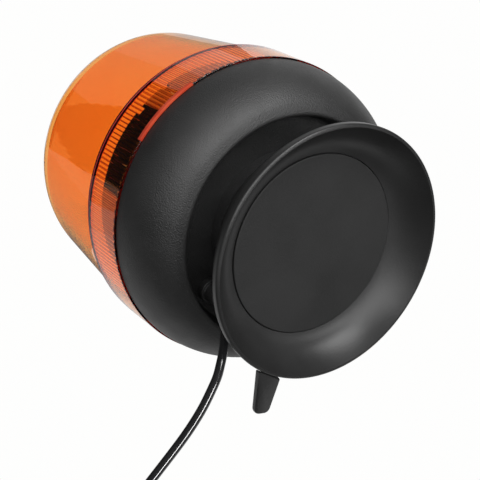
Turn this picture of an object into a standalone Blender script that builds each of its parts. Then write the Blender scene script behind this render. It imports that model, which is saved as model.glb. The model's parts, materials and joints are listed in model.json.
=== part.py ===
"""Amber LED warning beacon on a magnetic suction base, with its supply cord and vehicle plug.

Metres, +Z up.  The beacon stands on the lip of its suction cup at z = 0 and its axis is the Z axis.
The cord leaves the underside towards +Y; its spare length is coiled there, with the plug beyond it.
"""
import math

import bmesh
import bpy
from mathutils import Matrix, Vector

# Clearance between touching pieces, and facets round large and small turned pieces
FIT = 0.0003
ROUND = 40
SMALL_ROUND = 16

# Suction cup, and the magnet stack inside it
CUP_RADIUS = 0.0502
LIP_HEIGHT = 0.0036
LIP_FLAT = 0.0014
DISH_DEPTH = 0.0120
PAD_RADIUS = 0.0365
PAD_THICKNESS = 0.0020
MAGNET_RADIUS = 0.0300
MAGNET_BORE = 0.0090
MAGNET_THICKNESS = 0.0080
YOKE_THICKNESS = 0.0020
YOKE_RADIUS = 0.0310
CUP_CROWN = 0.0032
CUP_WALL = 0.0031

# Release tab on the lip: its root line, its lean and its size
TAB_ROOT_AZIMUTH = 76.6
TAB_LEAN = 56.8
TAB_LENGTH = 0.0163
TAB_ROOT_WIDTH = 0.0112
TAB_TIP_WIDTH = 0.0076
TAB_THICKNESS = 0.0026

# Bolt that holds the cup to the bowl
BOLT_RADIUS = 0.0030
BOLT_HEAD_RADIUS = 0.0058
BOLT_HEAD_HEIGHT = 0.0042
BOLT_END = 0.0012
WASHER_RADIUS = 0.0080
WASHER_THICKNESS = 0.0015
NUT_RADIUS = 0.0060
NUT_HEIGHT = 0.0050
HOLE_SLACK = 0.0004

# Bowl of the base
BOWL_DEPTH = 0.0245
RIM_RADIUS = 0.0641
FOOT_RADIUS = 0.0486
BOWL_ROUNDING = 1.75
BOWL_WALL = 0.0030
BOSS_RADIUS = 0.0300
GROOVE_RADIUS = 0.0462
GROOVE_DEPTH = 0.0088
LEDGE_WIDTH = 0.0020
LEDGE_THICKNESS = 0.0020
LEDGE_DROP = 0.0016
SLOT_ANGLE = 15.0

# Lens: flared grip band, drafted wall and domed cap, held by lugs under the ledge
BAND_FOOT_RADIUS = 0.0648
BAND_RADIUS = 0.0662
BAND_HEIGHT = 0.0233
LENS_WALL = 0.0030
WALL_FOOT_RADIUS = 0.0648
SHOULDER_RADIUS = 0.0622
WALL_HEIGHT = 0.0633
CAP_HEIGHT = 0.0352
STEP_CHAMFER = 0.0012
INNER_STEP = 0.0060
SKIRT_DEPTH = 0.0070
SKIRT_WALL = 0.0021
SKIRT_SLACK = 0.0005
LUG_COUNT = 3
LUG_ANGLE = 12.0
LUG_HEIGHT = 0.0028
LUG_REACH = 0.0018
LENS_UNLOCK = 25.0
GASKET_WALL = 0.0014

# Drum round the electronics, its pillars and screws
DRUM_SLACK = 0.0006
DRUM_RISE = 0.0299
DRUM_WALL = 0.0024
DRUM_OPENING = 0.0090
DRUM_EDGE = 0.0008
PILLAR_CIRCLE = 0.0380
PILLAR_RADIUS = 0.0040
PILLAR_AZIMUTH = 30.0
SCREW_RADIUS = 0.0015
SCREW_HEAD_RADIUS = 0.0029
SCREW_HEAD_HEIGHT = 0.0020
SCREW_GRIP = 0.0080

# Driver board on short posts
BOARD_RADIUS = 0.0335
BOARD_THICKNESS = 0.0016
POST_HEIGHT = 0.0060
POST_CIRCLE = 0.0300
POST_RADIUS = 0.0025
POST_AZIMUTH = 45.0
BOARD_SCREW_RADIUS = 0.0011
BOARD_SCREW_GRIP = 0.0040
TERMINAL_SIZE = (0.0120, 0.0090, 0.0090)
TERMINAL_PLACE = (-0.0080, 0.0215)
CAPACITOR_RADIUS = 0.0060
CAPACITOR_HEIGHT = 0.0180
CAPACITOR_PLACE = (0.0140, -0.0110)
CHOKE_RADIUS = 0.0070
CHOKE_SECTION = 0.0028
CHOKE_PLACE = (-0.0160, -0.0070)
CHIP_SIZE = (0.0100, 0.0080, 0.0026)
CHIP_PLACE = (0.0100, 0.0150)
TOWER_LEAD_RADIUS = 0.0015

# Tower of light-emitting boards
TOWER_FLATS = 0.0300
TOWER_BORE = 0.0050
TOWER_FLANGE = 0.0060
TOWER_FLANGE_THICKNESS = 0.0025
TOWER_HEIGHT = 0.0460
TOWER_SIDES = 6
STRIP_WIDTH = 0.0140
STRIP_MARGIN = 0.0015
STRIP_THICKNESS = 0.0016
EMITTER_SIZE = 0.0052
EMITTER_HEIGHT = 0.0014
EMITTERS_PER_STRIP = 3
TOP_BOARD_RADIUS = 0.0160
TOP_EMITTER_RADIUS = 0.0050
TOP_EMITTER_HEIGHT = 0.0026

# Cable gland in the groove, and the cord
CORD_RADIUS = 0.00175
GLAND_CIRCLE = 0.0385
GLAND_AZIMUTH = 102.0
GLAND_FLANGE_RADIUS = 0.0052
GLAND_FLANGE_THICKNESS = 0.0032
GLAND_NOZZLE_LENGTH = 0.0062
GLAND_STEM_RADIUS = 0.0034
GLAND_TOP_LENGTH = 0.0050
GLAND_NUT_RADIUS = 0.0058
GLAND_NUT_HEIGHT = 0.0034
WIRE_RADIUS = 0.0007
WIRE_SPREAD = 0.0015
CORD_STUB = 0.0008

# Coil of spare cord, its ties, and the plug beyond it
COIL_PLACE = (0.0277, 0.1500)
COIL_MEAN_RADIUS = 0.0210
COIL_WIDTH = 0.0148
COIL_HEIGHT = 0.0150
TIE_WIDTH = 0.0060
TIE_THICKNESS = 0.0010
TIE_SLACK = 0.0004
TIE_AZIMUTHS = (45.0, 225.0)
PLUG_PLACE = (0.0335, 0.2190)
RELIEF_LENGTH = 0.0200
RELIEF_TAIL_RADIUS = 0.0026
RELIEF_NECK_RADIUS = 0.0044
GRIP_RADIUS = 0.0110
GRIP_LENGTH = 0.0240
BARREL_RADIUS = 0.0104
BARREL_LENGTH = 0.0236
SHELL_WALL = 0.0022
NOSE_LENGTH = 0.0107
NOSE_FRONT_RADIUS = 0.0056
NOSE_WALL = 0.0026
TIP_RADIUS = 0.0040
TIP_FLANGE_RADIUS = 0.0058
TIP_FLANGE_THICKNESS = 0.0026
TIP_REACH = 0.0050
TIP_TRAVEL = 0.0030
FUSE_RADIUS = 0.0031
FUSE_LENGTH = 0.0300
SPRING_LENGTH = 0.0086
SPRING_RADIUS = 0.0026
SPRING_WIRE = 0.0004
SPRING_TURNS = 4
CONTACT_LENGTH = 0.0150
CONTACT_TUCK = 0.0028
CONTACT_BULGE = 0.0014
CONTACT_THICKNESS = 0.0008
CONTACT_WIDTH = 0.0046

# Heights of the stack, from the supporting surface up
PAD_TOP = DISH_DEPTH + PAD_THICKNESS
MAGNET_Z = PAD_TOP + FIT
MAGNET_TOP = MAGNET_Z + MAGNET_THICKNESS
YOKE_Z = MAGNET_TOP + FIT
YOKE_TOP = YOKE_Z + YOKE_THICKNESS
POCKET_TOP = YOKE_TOP + FIT
CUP_TOP = POCKET_TOP + CUP_CROWN
BOWL_Z = CUP_TOP + FIT
RIM_Z = BOWL_Z + BOWL_DEPTH
GROOVE_Z = BOWL_Z + GROOVE_DEPTH
WELL_Z = BOWL_Z + BOWL_WALL
FLOOR_Z = GROOVE_Z + BOWL_WALL
LEDGE_TOP = RIM_Z - LEDGE_DROP
LEDGE_Z = LEDGE_TOP - LEDGE_THICKNESS
INNER_RADIUS = RIM_RADIUS - BOWL_WALL
LENS_Z = RIM_Z + FIT
BAND_TOP = LENS_Z + BAND_HEIGHT
SHOULDER_Z = BAND_TOP + WALL_HEIGHT
APEX_Z = SHOULDER_Z + CAP_HEIGHT
SKIRT_RADIUS = INNER_RADIUS - LEDGE_WIDTH - SKIRT_SLACK
SKIRT_Z = LENS_Z - SKIRT_DEPTH
DRUM_RADIUS = min(SKIRT_RADIUS - SKIRT_WALL, WALL_FOOT_RADIUS - LENS_WALL) - DRUM_SLACK
DRUM_TOP = RIM_Z + DRUM_RISE
DRUM_CEILING = DRUM_TOP - DRUM_WALL
PILLAR_TOP = DRUM_CEILING - FIT
BOARD_Z = FLOOR_Z + POST_HEIGHT + FIT
BOARD_TOP = BOARD_Z + BOARD_THICKNESS
TOWER_Z = DRUM_TOP + FIT
TOWER_TOP = TOWER_Z + TOWER_FLANGE_THICKNESS + TOWER_HEIGHT
TOWER_SCREW_CIRCLE = TOWER_FLATS / 2 / math.cos(math.pi / TOWER_SIDES) + TOWER_FLANGE / 2
COIL_Z = TIE_THICKNESS + FIT
PLUG_Z = GRIP_RADIUS + FIT / 2
GLAND_X = GLAND_CIRCLE * math.cos(math.radians(GLAND_AZIMUTH))
GLAND_Y = GLAND_CIRCLE * math.sin(math.radians(GLAND_AZIMUTH))
GLAND_FLANGE_TOP = GROOVE_Z - FIT
GLAND_NOZZLE_Z = GLAND_FLANGE_TOP - GLAND_FLANGE_THICKNESS - GLAND_NOZZLE_LENGTH
GLAND_TOP = FLOOR_Z + GLAND_TOP_LENGTH


def finish(name, colour, roughness, metallic=0.0):
    """A plain material: colour, roughness and metal."""
    material = bpy.data.materials.new(name)
    material.use_nodes = True
    shader = material.node_tree.nodes["Principled BSDF"]
    shader.inputs["Base Color"].default_value = (*colour, 1.0)
    shader.inputs["Roughness"].default_value = roughness
    shader.inputs["Metallic"].default_value = metallic
    return material


def make(name, bm, material, place=None):
    """Turn a finished bmesh into a named object, set at the given matrix."""
    bmesh.ops.remove_doubles(bm, verts=bm.verts, dist=1e-7)
    bmesh.ops.recalc_face_normals(bm, faces=bm.faces)
    mesh = bpy.data.meshes.new(name)
    bm.to_mesh(mesh)
    bm.free()
    mesh.shade_smooth()
    mesh.set_sharp_from_angle(angle=math.radians(35))
    mesh.materials.append(material)
    thing = bpy.data.objects.new(name, mesh)
    bpy.context.scene.collection.objects.link(thing)
    if place is not None:
        thing.matrix_world = place
    return thing


def at(x, y, z):
    return Matrix.Translation((x, y, z))


def polar(radius, azimuth, z=0.0):
    angle = math.radians(azimuth)
    return Vector((radius * math.cos(angle), radius * math.sin(angle), z))


def spin_outline(bm, outline, facets, centre=(0.0, 0.0)):
    """Sweep a closed (radius, height) outline once round a vertical axis, into bm."""
    poles = {}
    for i, (radius, z) in enumerate(outline):
        if radius == 0:
            poles[i] = bm.verts.new((centre[0], centre[1], z))
    rings = []
    for k in range(facets):
        across = math.cos(2 * math.pi * k / facets)
        along = math.sin(2 * math.pi * k / facets)
        rings.append([poles[i] if i in poles else
                      bm.verts.new((centre[0] + radius * across, centre[1] + radius * along, z))
                      for i, (radius, z) in enumerate(outline)])
    for here, there in zip(rings, rings[1:] + rings[:1]):
        for i in range(len(outline)):
            corners = list(dict.fromkeys((here[i - 1], here[i], there[i], there[i - 1])))
            if len(corners) > 2:
                bm.faces.new(corners)


def turned(name, outline, material, facets=ROUND, place=None):
    """A turned piece."""
    bm = bmesh.new()
    spin_outline(bm, outline, facets)
    return make(name, bm, material, place)


def prism_into(bm, outline, z_low, z_high):
    """An upright prism over a flat (x, y) outline, into bm."""
    face = bm.faces.new([bm.verts.new((x, y, z_low)) for x, y in outline])
    grown = bmesh.ops.extrude_face_region(bm, geom=[face])
    top = [item for item in grown["geom"] if isinstance(item, bmesh.types.BMVert)]
    bmesh.ops.translate(bm, verts=top, vec=(0, 0, z_high - z_low))


def prism(name, outline, z_low, z_high, material, place=None):
    bm = bmesh.new()
    prism_into(bm, outline, z_low, z_high)
    return make(name, bm, material, place)


def block(name, size, corner, material):
    """A box from its low corner."""
    x, y, z = corner
    outline = [(x, y), (x + size[0], y), (x + size[0], y + size[1]), (x, y + size[1])]
    return prism(name, outline, z, z + size[2], material)


def tool(name, bm):
    """A hidden shape that cuts or joins another piece."""
    shape = make(name, bm, GUIDE)
    shape.hide_render = True
    shape.display_type = "WIRE"
    return shape


def combine(target, shape, operation):
    """Cut a hidden shape out of a piece, or join it on."""
    step = target.modifiers.new(shape.name, "BOOLEAN")
    step.operation = operation
    step.solver = "EXACT"
    step.object = shape


def quarter(r_low, r_high, z_low, z_high, power, steps):
    """A rounded quarter from the outer, upper end down to the inner, lower end."""
    points = []
    for i in range(steps + 1):
        turn = math.pi / 2 * i / steps
        across = math.cos(turn) ** (2 / power) if i < steps else 0.0
        down = math.sin(turn) ** (2 / power)
        points.append((r_low + (r_high - r_low) * across, z_high - (z_high - z_low) * down))
    return points


def cap_curve(radius, z_base, height, steps):
    """Half an ellipse from the pole down to its base."""
    points = [(0.0, z_base + height)]
    for i in range(1, steps + 1):
        turn = math.pi / 2 * i / steps
        points.append((radius * math.sin(turn), z_base + height * math.cos(turn)))
    return points


def spots(count, circle, azimuth):
    """Evenly spaced centres on a circle."""
    return [polar(circle, azimuth + 360 * i / count) for i in range(count)]


def smooth_route(stops, spacing):
    """Points at even spacing along a smooth curve through the stops."""
    stops = [Vector(stop) for stop in stops]
    ends = [2 * stops[0] - stops[1]] + stops + [2 * stops[-1] - stops[-2]]
    fine = []
    for a, b, c, d in zip(ends, ends[1:], ends[2:], ends[3:]):
        for i in range(24):
            t = i / 24
            fine.append(0.5 * (2 * b + (c - a) * t + (2 * a - 5 * b + 4 * c - d) * t ** 2
                               + (3 * b - a - 3 * c + d) * t ** 3))
    fine.append(stops[-1])
    run = [0.0]
    for here, there in zip(fine, fine[1:]):
        run.append(run[-1] + (there - here).length)
    count = max(2, round(run[-1] / spacing))
    route = []
    k = 0
    for i in range(count + 1):
        want = run[-1] * i / count
        while k < len(run) - 2 and run[k + 1] < want:
            k += 1
        share = (want - run[k]) / max(run[k + 1] - run[k], 1e-9)
        route.append(fine[k].lerp(fine[k + 1], min(share, 1.0)))
    return route


def tube(name, points, radius, material, sides=2):
    """A round cord or wire along its points, with closed ends."""
    curve = bpy.data.curves.new(name, "CURVE")
    curve.dimensions = "3D"
    curve.bevel_depth = radius
    curve.bevel_resolution = sides
    curve.use_fill_caps = True
    spline = curve.splines.new("POLY")
    spline.points.add(len(points) - 1)
    for knot, point in zip(spline.points, points):
        knot.co = (*point, 1.0)
    curve.materials.append(material)
    thing = bpy.data.objects.new(name, curve)
    bpy.context.scene.collection.objects.link(thing)
    return thing


def screw(name, x, y, seat, shank_radius, grip, material):
    """A pan-head screw standing on its seat, pointing down."""
    crown = seat + SCREW_HEAD_HEIGHT
    outline = [(0.0, crown), (SCREW_HEAD_RADIUS * 0.7, crown),
               (SCREW_HEAD_RADIUS, seat + SCREW_HEAD_HEIGHT / 2), (SCREW_HEAD_RADIUS, seat),
               (shank_radius, seat), (shank_radius, seat - grip), (0.0, seat - grip)]
    return turned(name, outline, material, 12, at(x, y, 0.0))


for old in list(bpy.data.objects):
    bpy.data.objects.remove(old, do_unlink=True)

GUIDE = finish("guide", (0.5, 0.5, 0.5), 0.5)
RUBBER = finish("black_rubber", (0.022, 0.022, 0.024), 0.62)
BLACK = finish("black_plastic", (0.020, 0.020, 0.021), 0.45)
AMBER = finish("amber_plastic", (0.85, 0.24, 0.02), 0.12)
STEEL = finish("zinc_steel", (0.62, 0.62, 0.60), 0.32, 1.0)
FERRITE = finish("ferrite", (0.06, 0.06, 0.065), 0.55)
ALUMINIUM = finish("aluminium", (0.78, 0.78, 0.80), 0.35, 1.0)
BOARD = finish("circuit_board", (0.02, 0.16, 0.06), 0.45)
WHITE_BOARD = finish("white_board", (0.82, 0.82, 0.78), 0.50)
BRASS = finish("brass", (0.76, 0.60, 0.28), 0.28, 1.0)
TERMINAL = finish("terminal_plastic", (0.05, 0.24, 0.12), 0.50)
SLEEVE = finish("capacitor_sleeve", (0.04, 0.05, 0.10), 0.35)
COPPER = finish("copper_winding", (0.65, 0.28, 0.12), 0.35, 1.0)
RED_WIRE = finish("red_insulation", (0.55, 0.02, 0.02), 0.45)
CORD = finish("black_cord", (0.016, 0.016, 0.017), 0.30)
GLASS = finish("fuse_glass", (0.80, 0.82, 0.82), 0.10)


def suction_base():
    """Rubber cup with its release tab, pad, magnet and steel yoke."""
    bore = BOLT_RADIUS + HOLE_SLACK
    neck = YOKE_RADIUS + FIT + CUP_WALL
    root = PAD_RADIUS + CUP_WALL
    rise = CUP_TOP - LIP_HEIGHT
    lip_inner = CUP_RADIUS - LIP_FLAT
    outline = [(CUP_RADIUS - 0.0002, 0.0), (CUP_RADIUS, LIP_HEIGHT * 0.2), (CUP_RADIUS, LIP_HEIGHT * 0.85),
               (CUP_RADIUS - 0.0008, LIP_HEIGHT)]
    back = ((0.32, 0.20), (0.62, 0.36))
    outline += [(CUP_RADIUS + (root - CUP_RADIUS) * u, LIP_HEIGHT + rise * v) for u, v in back]
    outline += [(root, LIP_HEIGHT + rise * 0.52), ((root + neck) / 2, LIP_HEIGHT + rise * 0.72),
                (neck, LIP_HEIGHT + rise * 0.92), (neck - 0.0008, CUP_TOP), (bore, CUP_TOP),
                (bore, POCKET_TOP), (YOKE_RADIUS + FIT, POCKET_TOP), (YOKE_RADIUS + FIT, PAD_TOP + FIT),
                (PAD_RADIUS, PAD_TOP + FIT), (PAD_RADIUS, DISH_DEPTH)]
    slope = ((0.10, 0.80), (0.42, 0.40), (0.80, 0.10))
    outline += [(PAD_RADIUS + (lip_inner - PAD_RADIUS) * u, DISH_DEPTH * v) for u, v in slope]
    outline += [(lip_inner, 0.0)]
    turned("suction_cup", outline, RUBBER)

    pad = PAD_RADIUS - FIT
    turned("pad_cover", [(0.0, DISH_DEPTH), (pad - 0.0003, DISH_DEPTH), (pad, DISH_DEPTH + 0.0003),
                         (pad, PAD_TOP), (0.0, PAD_TOP)], RUBBER)
    turned("holding_magnet", [(MAGNET_RADIUS, MAGNET_TOP), (MAGNET_RADIUS, MAGNET_Z),
                              (MAGNET_BORE, MAGNET_Z), (MAGNET_BORE, MAGNET_TOP)], FERRITE, 32)
    turned("yoke_plate", [(YOKE_RADIUS, YOKE_TOP), (YOKE_RADIUS, YOKE_Z),
                          (bore, YOKE_Z), (bore, YOKE_TOP)], STEEL, 32)


def release_tab():
    """Rubber tongue that lifts the lip; its origin is on the hinge line at its upper root edge."""
    outward = Vector((math.cos(math.radians(TAB_LEAN)), math.sin(math.radians(TAB_LEAN))))
    root = polar(CUP_RADIUS + FIT, TAB_ROOT_AZIMUTH)
    tangent = Vector((math.sin(math.radians(TAB_ROOT_AZIMUTH)), -math.cos(math.radians(TAB_ROOT_AZIMUTH))))
    tip_side = Vector((outward.y, -outward.x))
    tip = outward * TAB_LENGTH
    half_root = tangent * TAB_ROOT_WIDTH / 2
    half_tip = tip_side * TAB_TIP_WIDTH / 2
    back = outward * TAB_TIP_WIDTH * 0.3
    outline = [half_root, half_tip + tip - back, half_tip * 0.55 + tip, -half_tip * 0.55 + tip,
               -half_tip + tip - back, -half_root]
    spare = (LIP_HEIGHT - TAB_THICKNESS) / 2
    hinge = at(root.x, root.y, spare + TAB_THICKNESS)
    prism("release_tab", [(p.x, p.y) for p in outline], -TAB_THICKNESS, 0.0, RUBBER, hinge)


def base_fixing():
    """Hex bolt through the yoke, cup and bowl, with its washer and nut in the well."""
    seat = YOKE_Z - FIT
    washer_z = WELL_Z + FIT
    nut_z = washer_z + WASHER_THICKNESS + FIT
    end = nut_z + NUT_HEIGHT + BOLT_END
    corners = [polar(BOLT_HEAD_RADIUS, 60 * i) for i in range(6)]
    bolt = prism("base_bolt", [(p.x, p.y) for p in corners], seat - BOLT_HEAD_HEIGHT, seat, STEEL)
    shank = bmesh.new()
    spin_outline(shank, [(0.0, end), (BOLT_RADIUS * 0.8, end), (BOLT_RADIUS, end - BOLT_RADIUS * 0.2),
                         (BOLT_RADIUS, seat - BOLT_HEAD_HEIGHT / 2), (0.0, seat - BOLT_HEAD_HEIGHT / 2)],
                 SMALL_ROUND)
    combine(bolt, tool("bolt_shank", shank), "UNION")
    bore = BOLT_RADIUS + HOLE_SLACK
    turned("base_washer", [(WASHER_RADIUS, washer_z + WASHER_THICKNESS), (WASHER_RADIUS, washer_z),
                           (bore, washer_z), (bore, washer_z + WASHER_THICKNESS)], STEEL, 20)
    hex_bore = bore / math.cos(math.pi / 6)
    turned("base_nut", [(NUT_RADIUS, nut_z + NUT_HEIGHT), (NUT_RADIUS, nut_z),
                        (hex_bore, nut_z), (hex_bore, nut_z + NUT_HEIGHT)], STEEL, 6)


def base_bowl():
    """Bowl with the cord groove below, a well for the nut, and pillars and posts inside."""
    bore = BOLT_RADIUS + HOLE_SLACK
    soft = BOWL_WALL * 0.3
    trough = GROOVE_RADIUS + BOWL_WALL
    outline = quarter(FOOT_RADIUS, RIM_RADIUS, BOWL_Z, RIM_Z, BOWL_ROUNDING, 8)
    outline += [((FOOT_RADIUS + GROOVE_RADIUS) / 2, BOWL_Z + soft * 0.3), (GROOVE_RADIUS, BOWL_Z + soft),
                (GROOVE_RADIUS - soft, GROOVE_Z - soft), (GROOVE_RADIUS - 2 * soft, GROOVE_Z),
                (BOSS_RADIUS + 2 * soft, GROOVE_Z), (BOSS_RADIUS + soft, GROOVE_Z - soft),
                (BOSS_RADIUS, BOWL_Z + soft), (BOSS_RADIUS - soft, BOWL_Z),
                (bore, BOWL_Z), (bore, WELL_Z), (BOSS_RADIUS - BOWL_WALL, WELL_Z),
                (BOSS_RADIUS - BOWL_WALL, FLOOR_Z), (trough - soft, FLOOR_Z), (trough, WELL_Z + soft)]
    outline += quarter(trough + soft, INNER_RADIUS, WELL_Z, LEDGE_Z, BOWL_ROUNDING, 6)[::-1]
    ledge = INNER_RADIUS - LEDGE_WIDTH
    outline += [(ledge, LEDGE_Z), (ledge, LEDGE_TOP), (INNER_RADIUS, LEDGE_TOP), (INNER_RADIUS, RIM_Z)]
    bowl = turned("base_bowl", outline, BLACK)

    sink = BOWL_WALL * 0.3
    stands = bmesh.new()
    pillars = spots(3, PILLAR_CIRCLE, PILLAR_AZIMUTH)
    posts = spots(3, POST_CIRCLE, POST_AZIMUTH)
    for centres, radius, top, hole, grip in (
            (pillars, PILLAR_RADIUS, PILLAR_TOP, SCREW_RADIUS, SCREW_GRIP),
            (posts, POST_RADIUS, FLOOR_Z + POST_HEIGHT, BOARD_SCREW_RADIUS, BOARD_SCREW_GRIP)):
        for spot in centres:
            bottom = top - grip
            spin_outline(stands, [(radius, top), (radius, FLOOR_Z - sink), (0.0, FLOOR_Z - sink),
                                  (0.0, bottom), (hole + FIT, bottom), (hole + FIT, top)], 12, spot)
    combine(bowl, tool("bowl_stands", stands), "UNION")

    cuts = bmesh.new()
    half_slot = INNER_RADIUS * math.tan(math.radians(SLOT_ANGLE / 2))
    for i in range(LUG_COUNT):
        azimuth = 360 * i / LUG_COUNT + LENS_UNLOCK
        along = polar(1.0, azimuth)
        side = Vector((-along.y, along.x, 0.0)) * half_slot
        near = along * (ledge - LEDGE_WIDTH)
        far = along * (INNER_RADIUS - FIT)
        corners = [near - side, far - side, far + side, near + side]
        prism_into(cuts, [(p.x, p.y) for p in corners], LEDGE_Z - FIT, LEDGE_TOP + FIT)
    hole = GLAND_STEM_RADIUS + FIT
    spin_outline(cuts, [(0.0, FLOOR_Z + FIT), (hole, FLOOR_Z + FIT), (hole, GROOVE_Z - FIT),
                        (0.0, GROOVE_Z - FIT)], SMALL_ROUND, (GLAND_X, GLAND_Y))
    combine(bowl, tool("bowl_cuts", cuts), "DIFFERENCE")


def cable_entry():
    """Gland with a soft nozzle below the bowl and a nut on its stem inside."""
    bore = CORD_RADIUS + FIT
    flange_z = GLAND_FLANGE_TOP - GLAND_FLANGE_THICKNESS
    lip = bore + GLAND_STEM_RADIUS - CORD_RADIUS
    outline = [(GLAND_STEM_RADIUS, GLAND_TOP), (GLAND_STEM_RADIUS, GLAND_FLANGE_TOP),
               (GLAND_FLANGE_RADIUS, GLAND_FLANGE_TOP), (GLAND_FLANGE_RADIUS, flange_z),
               (GLAND_FLANGE_RADIUS * 0.8, flange_z - GLAND_NOZZLE_LENGTH * 0.1),
               (bore + lip * 0.5, GLAND_NOZZLE_Z + GLAND_NOZZLE_LENGTH * 0.1),
               (bore + lip * 0.3, GLAND_NOZZLE_Z), (bore, GLAND_NOZZLE_Z), (bore, GLAND_TOP)]
    here = at(GLAND_X, GLAND_Y, 0.0)
    turned("cable_gland", outline, BLACK, SMALL_ROUND, here)
    nut_z = FLOOR_Z + FIT
    nut_bore = (GLAND_STEM_RADIUS + FIT) / math.cos(math.pi / 6)
    turned("gland_nut", [(GLAND_NUT_RADIUS, nut_z + GLAND_NUT_HEIGHT), (GLAND_NUT_RADIUS, nut_z),
                         (nut_bore, nut_z), (nut_bore, nut_z + GLAND_NUT_HEIGHT)], BLACK, 6, here)


def lens_and_gasket():
    """Amber lens with a flange on the rim and a lugged skirt below it, over a flat gasket."""
    skirt_inner = SKIRT_RADIUS - SKIRT_WALL
    outline = cap_curve(SHOULDER_RADIUS, SHOULDER_Z, CAP_HEIGHT, 8)
    outline += [(WALL_FOOT_RADIUS, BAND_TOP + STEP_CHAMFER), (BAND_RADIUS, BAND_TOP), (BAND_FOOT_RADIUS, LENS_Z),
                (SKIRT_RADIUS, LENS_Z), (SKIRT_RADIUS, SKIRT_Z), (skirt_inner, SKIRT_Z),
                (skirt_inner, LENS_Z + LENS_WALL), (BAND_FOOT_RADIUS - LENS_WALL, LENS_Z + LENS_WALL),
                (BAND_RADIUS - LENS_WALL, BAND_TOP),
                (WALL_FOOT_RADIUS - LENS_WALL, BAND_TOP + INNER_STEP)]
    outline += cap_curve(SHOULDER_RADIUS - LENS_WALL, SHOULDER_Z, CAP_HEIGHT - LENS_WALL, 8)[::-1]
    lens = turned("amber_lens", outline, AMBER)
    lugs = bmesh.new()
    for i in range(LUG_COUNT):
        angles = [360 * i / LUG_COUNT + LUG_ANGLE * share for share in (-0.5, 0.0, 0.5)]
        outer = [polar(SKIRT_RADIUS + LUG_REACH, angle) for angle in angles]
        inner = [polar(SKIRT_RADIUS - SKIRT_WALL / 2, angle) for angle in angles[::-1]]
        top = LEDGE_Z - FIT
        prism_into(lugs, [(p.x, p.y) for p in outer + inner], top - LUG_HEIGHT, top)
    combine(lens, tool("lens_lugs", lugs), "UNION")

    low = INNER_RADIUS - LEDGE_WIDTH + FIT
    gasket_z = LEDGE_TOP + FIT
    gasket_top = LENS_Z - FIT
    turned("rim_gasket", [(low + GASKET_WALL, gasket_top), (low + GASKET_WALL, gasket_z),
                          (low, gasket_z), (low, gasket_top)], RUBBER)


def drum():
    """Black drum over the electronics, screwed to the pillars and carrying the tower."""
    inner = DRUM_RADIUS - DRUM_WALL
    foot = SKIRT_Z + DRUM_WALL
    body = turned("inner_drum", [(DRUM_OPENING, DRUM_TOP), (DRUM_RADIUS - DRUM_EDGE, DRUM_TOP),
                                 (DRUM_RADIUS, DRUM_TOP - DRUM_EDGE), (DRUM_RADIUS, foot), (inner, foot),
                                 (inner, DRUM_CEILING), (DRUM_OPENING, DRUM_CEILING)], BLACK)
    holes = bmesh.new()
    tower_spots = spots(3, TOWER_SCREW_CIRCLE, 0.0)
    for spot in spots(3, PILLAR_CIRCLE, PILLAR_AZIMUTH) + tower_spots:
        radius = SCREW_RADIUS + FIT
        spin_outline(holes, [(0.0, DRUM_TOP + FIT), (radius, DRUM_TOP + FIT),
                             (radius, DRUM_CEILING - FIT), (0.0, DRUM_CEILING - FIT)], 12, spot)
    combine(body, tool("drum_holes", holes), "DIFFERENCE")
    reach = DRUM_WALL + SCREW_GRIP * 0.8
    for i, spot in enumerate(spots(3, PILLAR_CIRCLE, PILLAR_AZIMUTH)):
        screw("drum_screw_%d" % (i + 1), spot.x, spot.y, DRUM_TOP + FIT, SCREW_RADIUS, reach, STEEL)


def driver_board():
    """Round board on its posts, with the parts that feed the light."""
    board = turned("driver_board", [(0.0, BOARD_TOP), (BOARD_RADIUS, BOARD_TOP), (BOARD_RADIUS, BOARD_Z),
                                    (0.0, BOARD_Z)], BOARD, 32)
    holes = bmesh.new()
    for spot in spots(3, POST_CIRCLE, POST_AZIMUTH):
        radius = BOARD_SCREW_RADIUS + FIT
        spin_outline(holes, [(0.0, BOARD_TOP + FIT), (radius, BOARD_TOP + FIT),
                             (radius, BOARD_Z - FIT), (0.0, BOARD_Z - FIT)], 12, spot)
    combine(board, tool("board_holes", holes), "DIFFERENCE")
    reach = BOARD_THICKNESS + BOARD_SCREW_GRIP * 0.8
    seat = BOARD_TOP + FIT
    for i, spot in enumerate(spots(3, POST_CIRCLE, POST_AZIMUTH)):
        screw("board_screw_%d" % (i + 1), spot.x, spot.y, seat, BOARD_SCREW_RADIUS, reach, STEEL)
    for name, size, centre, material in (("terminal_block", TERMINAL_SIZE, TERMINAL_PLACE, TERMINAL),
                                         ("driver_chip", CHIP_SIZE, CHIP_PLACE, BLACK)):
        block(name, size, (centre[0] - size[0] / 2, centre[1] - size[1] / 2, seat), material)
    top = seat + CAPACITOR_HEIGHT
    turned("smoothing_capacitor", [(0.0, top), (CAPACITOR_RADIUS * 0.85, top),
                                   (CAPACITOR_RADIUS, top - CAPACITOR_RADIUS * 0.15),
                                   (CAPACITOR_RADIUS, seat), (0.0, seat)], SLEEVE, SMALL_ROUND,
           at(*CAPACITOR_PLACE, 0.0))
    section = [(CHOKE_RADIUS + CHOKE_SECTION * math.cos(math.pi / 4 * i - math.pi / 8),
                seat + CHOKE_SECTION * (1 + math.sin(math.pi / 4 * i - math.pi / 8))) for i in range(8)]
    turned("choke_coil", section, COPPER, SMALL_ROUND, at(*CHOKE_PLACE, 0.0))


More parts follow.
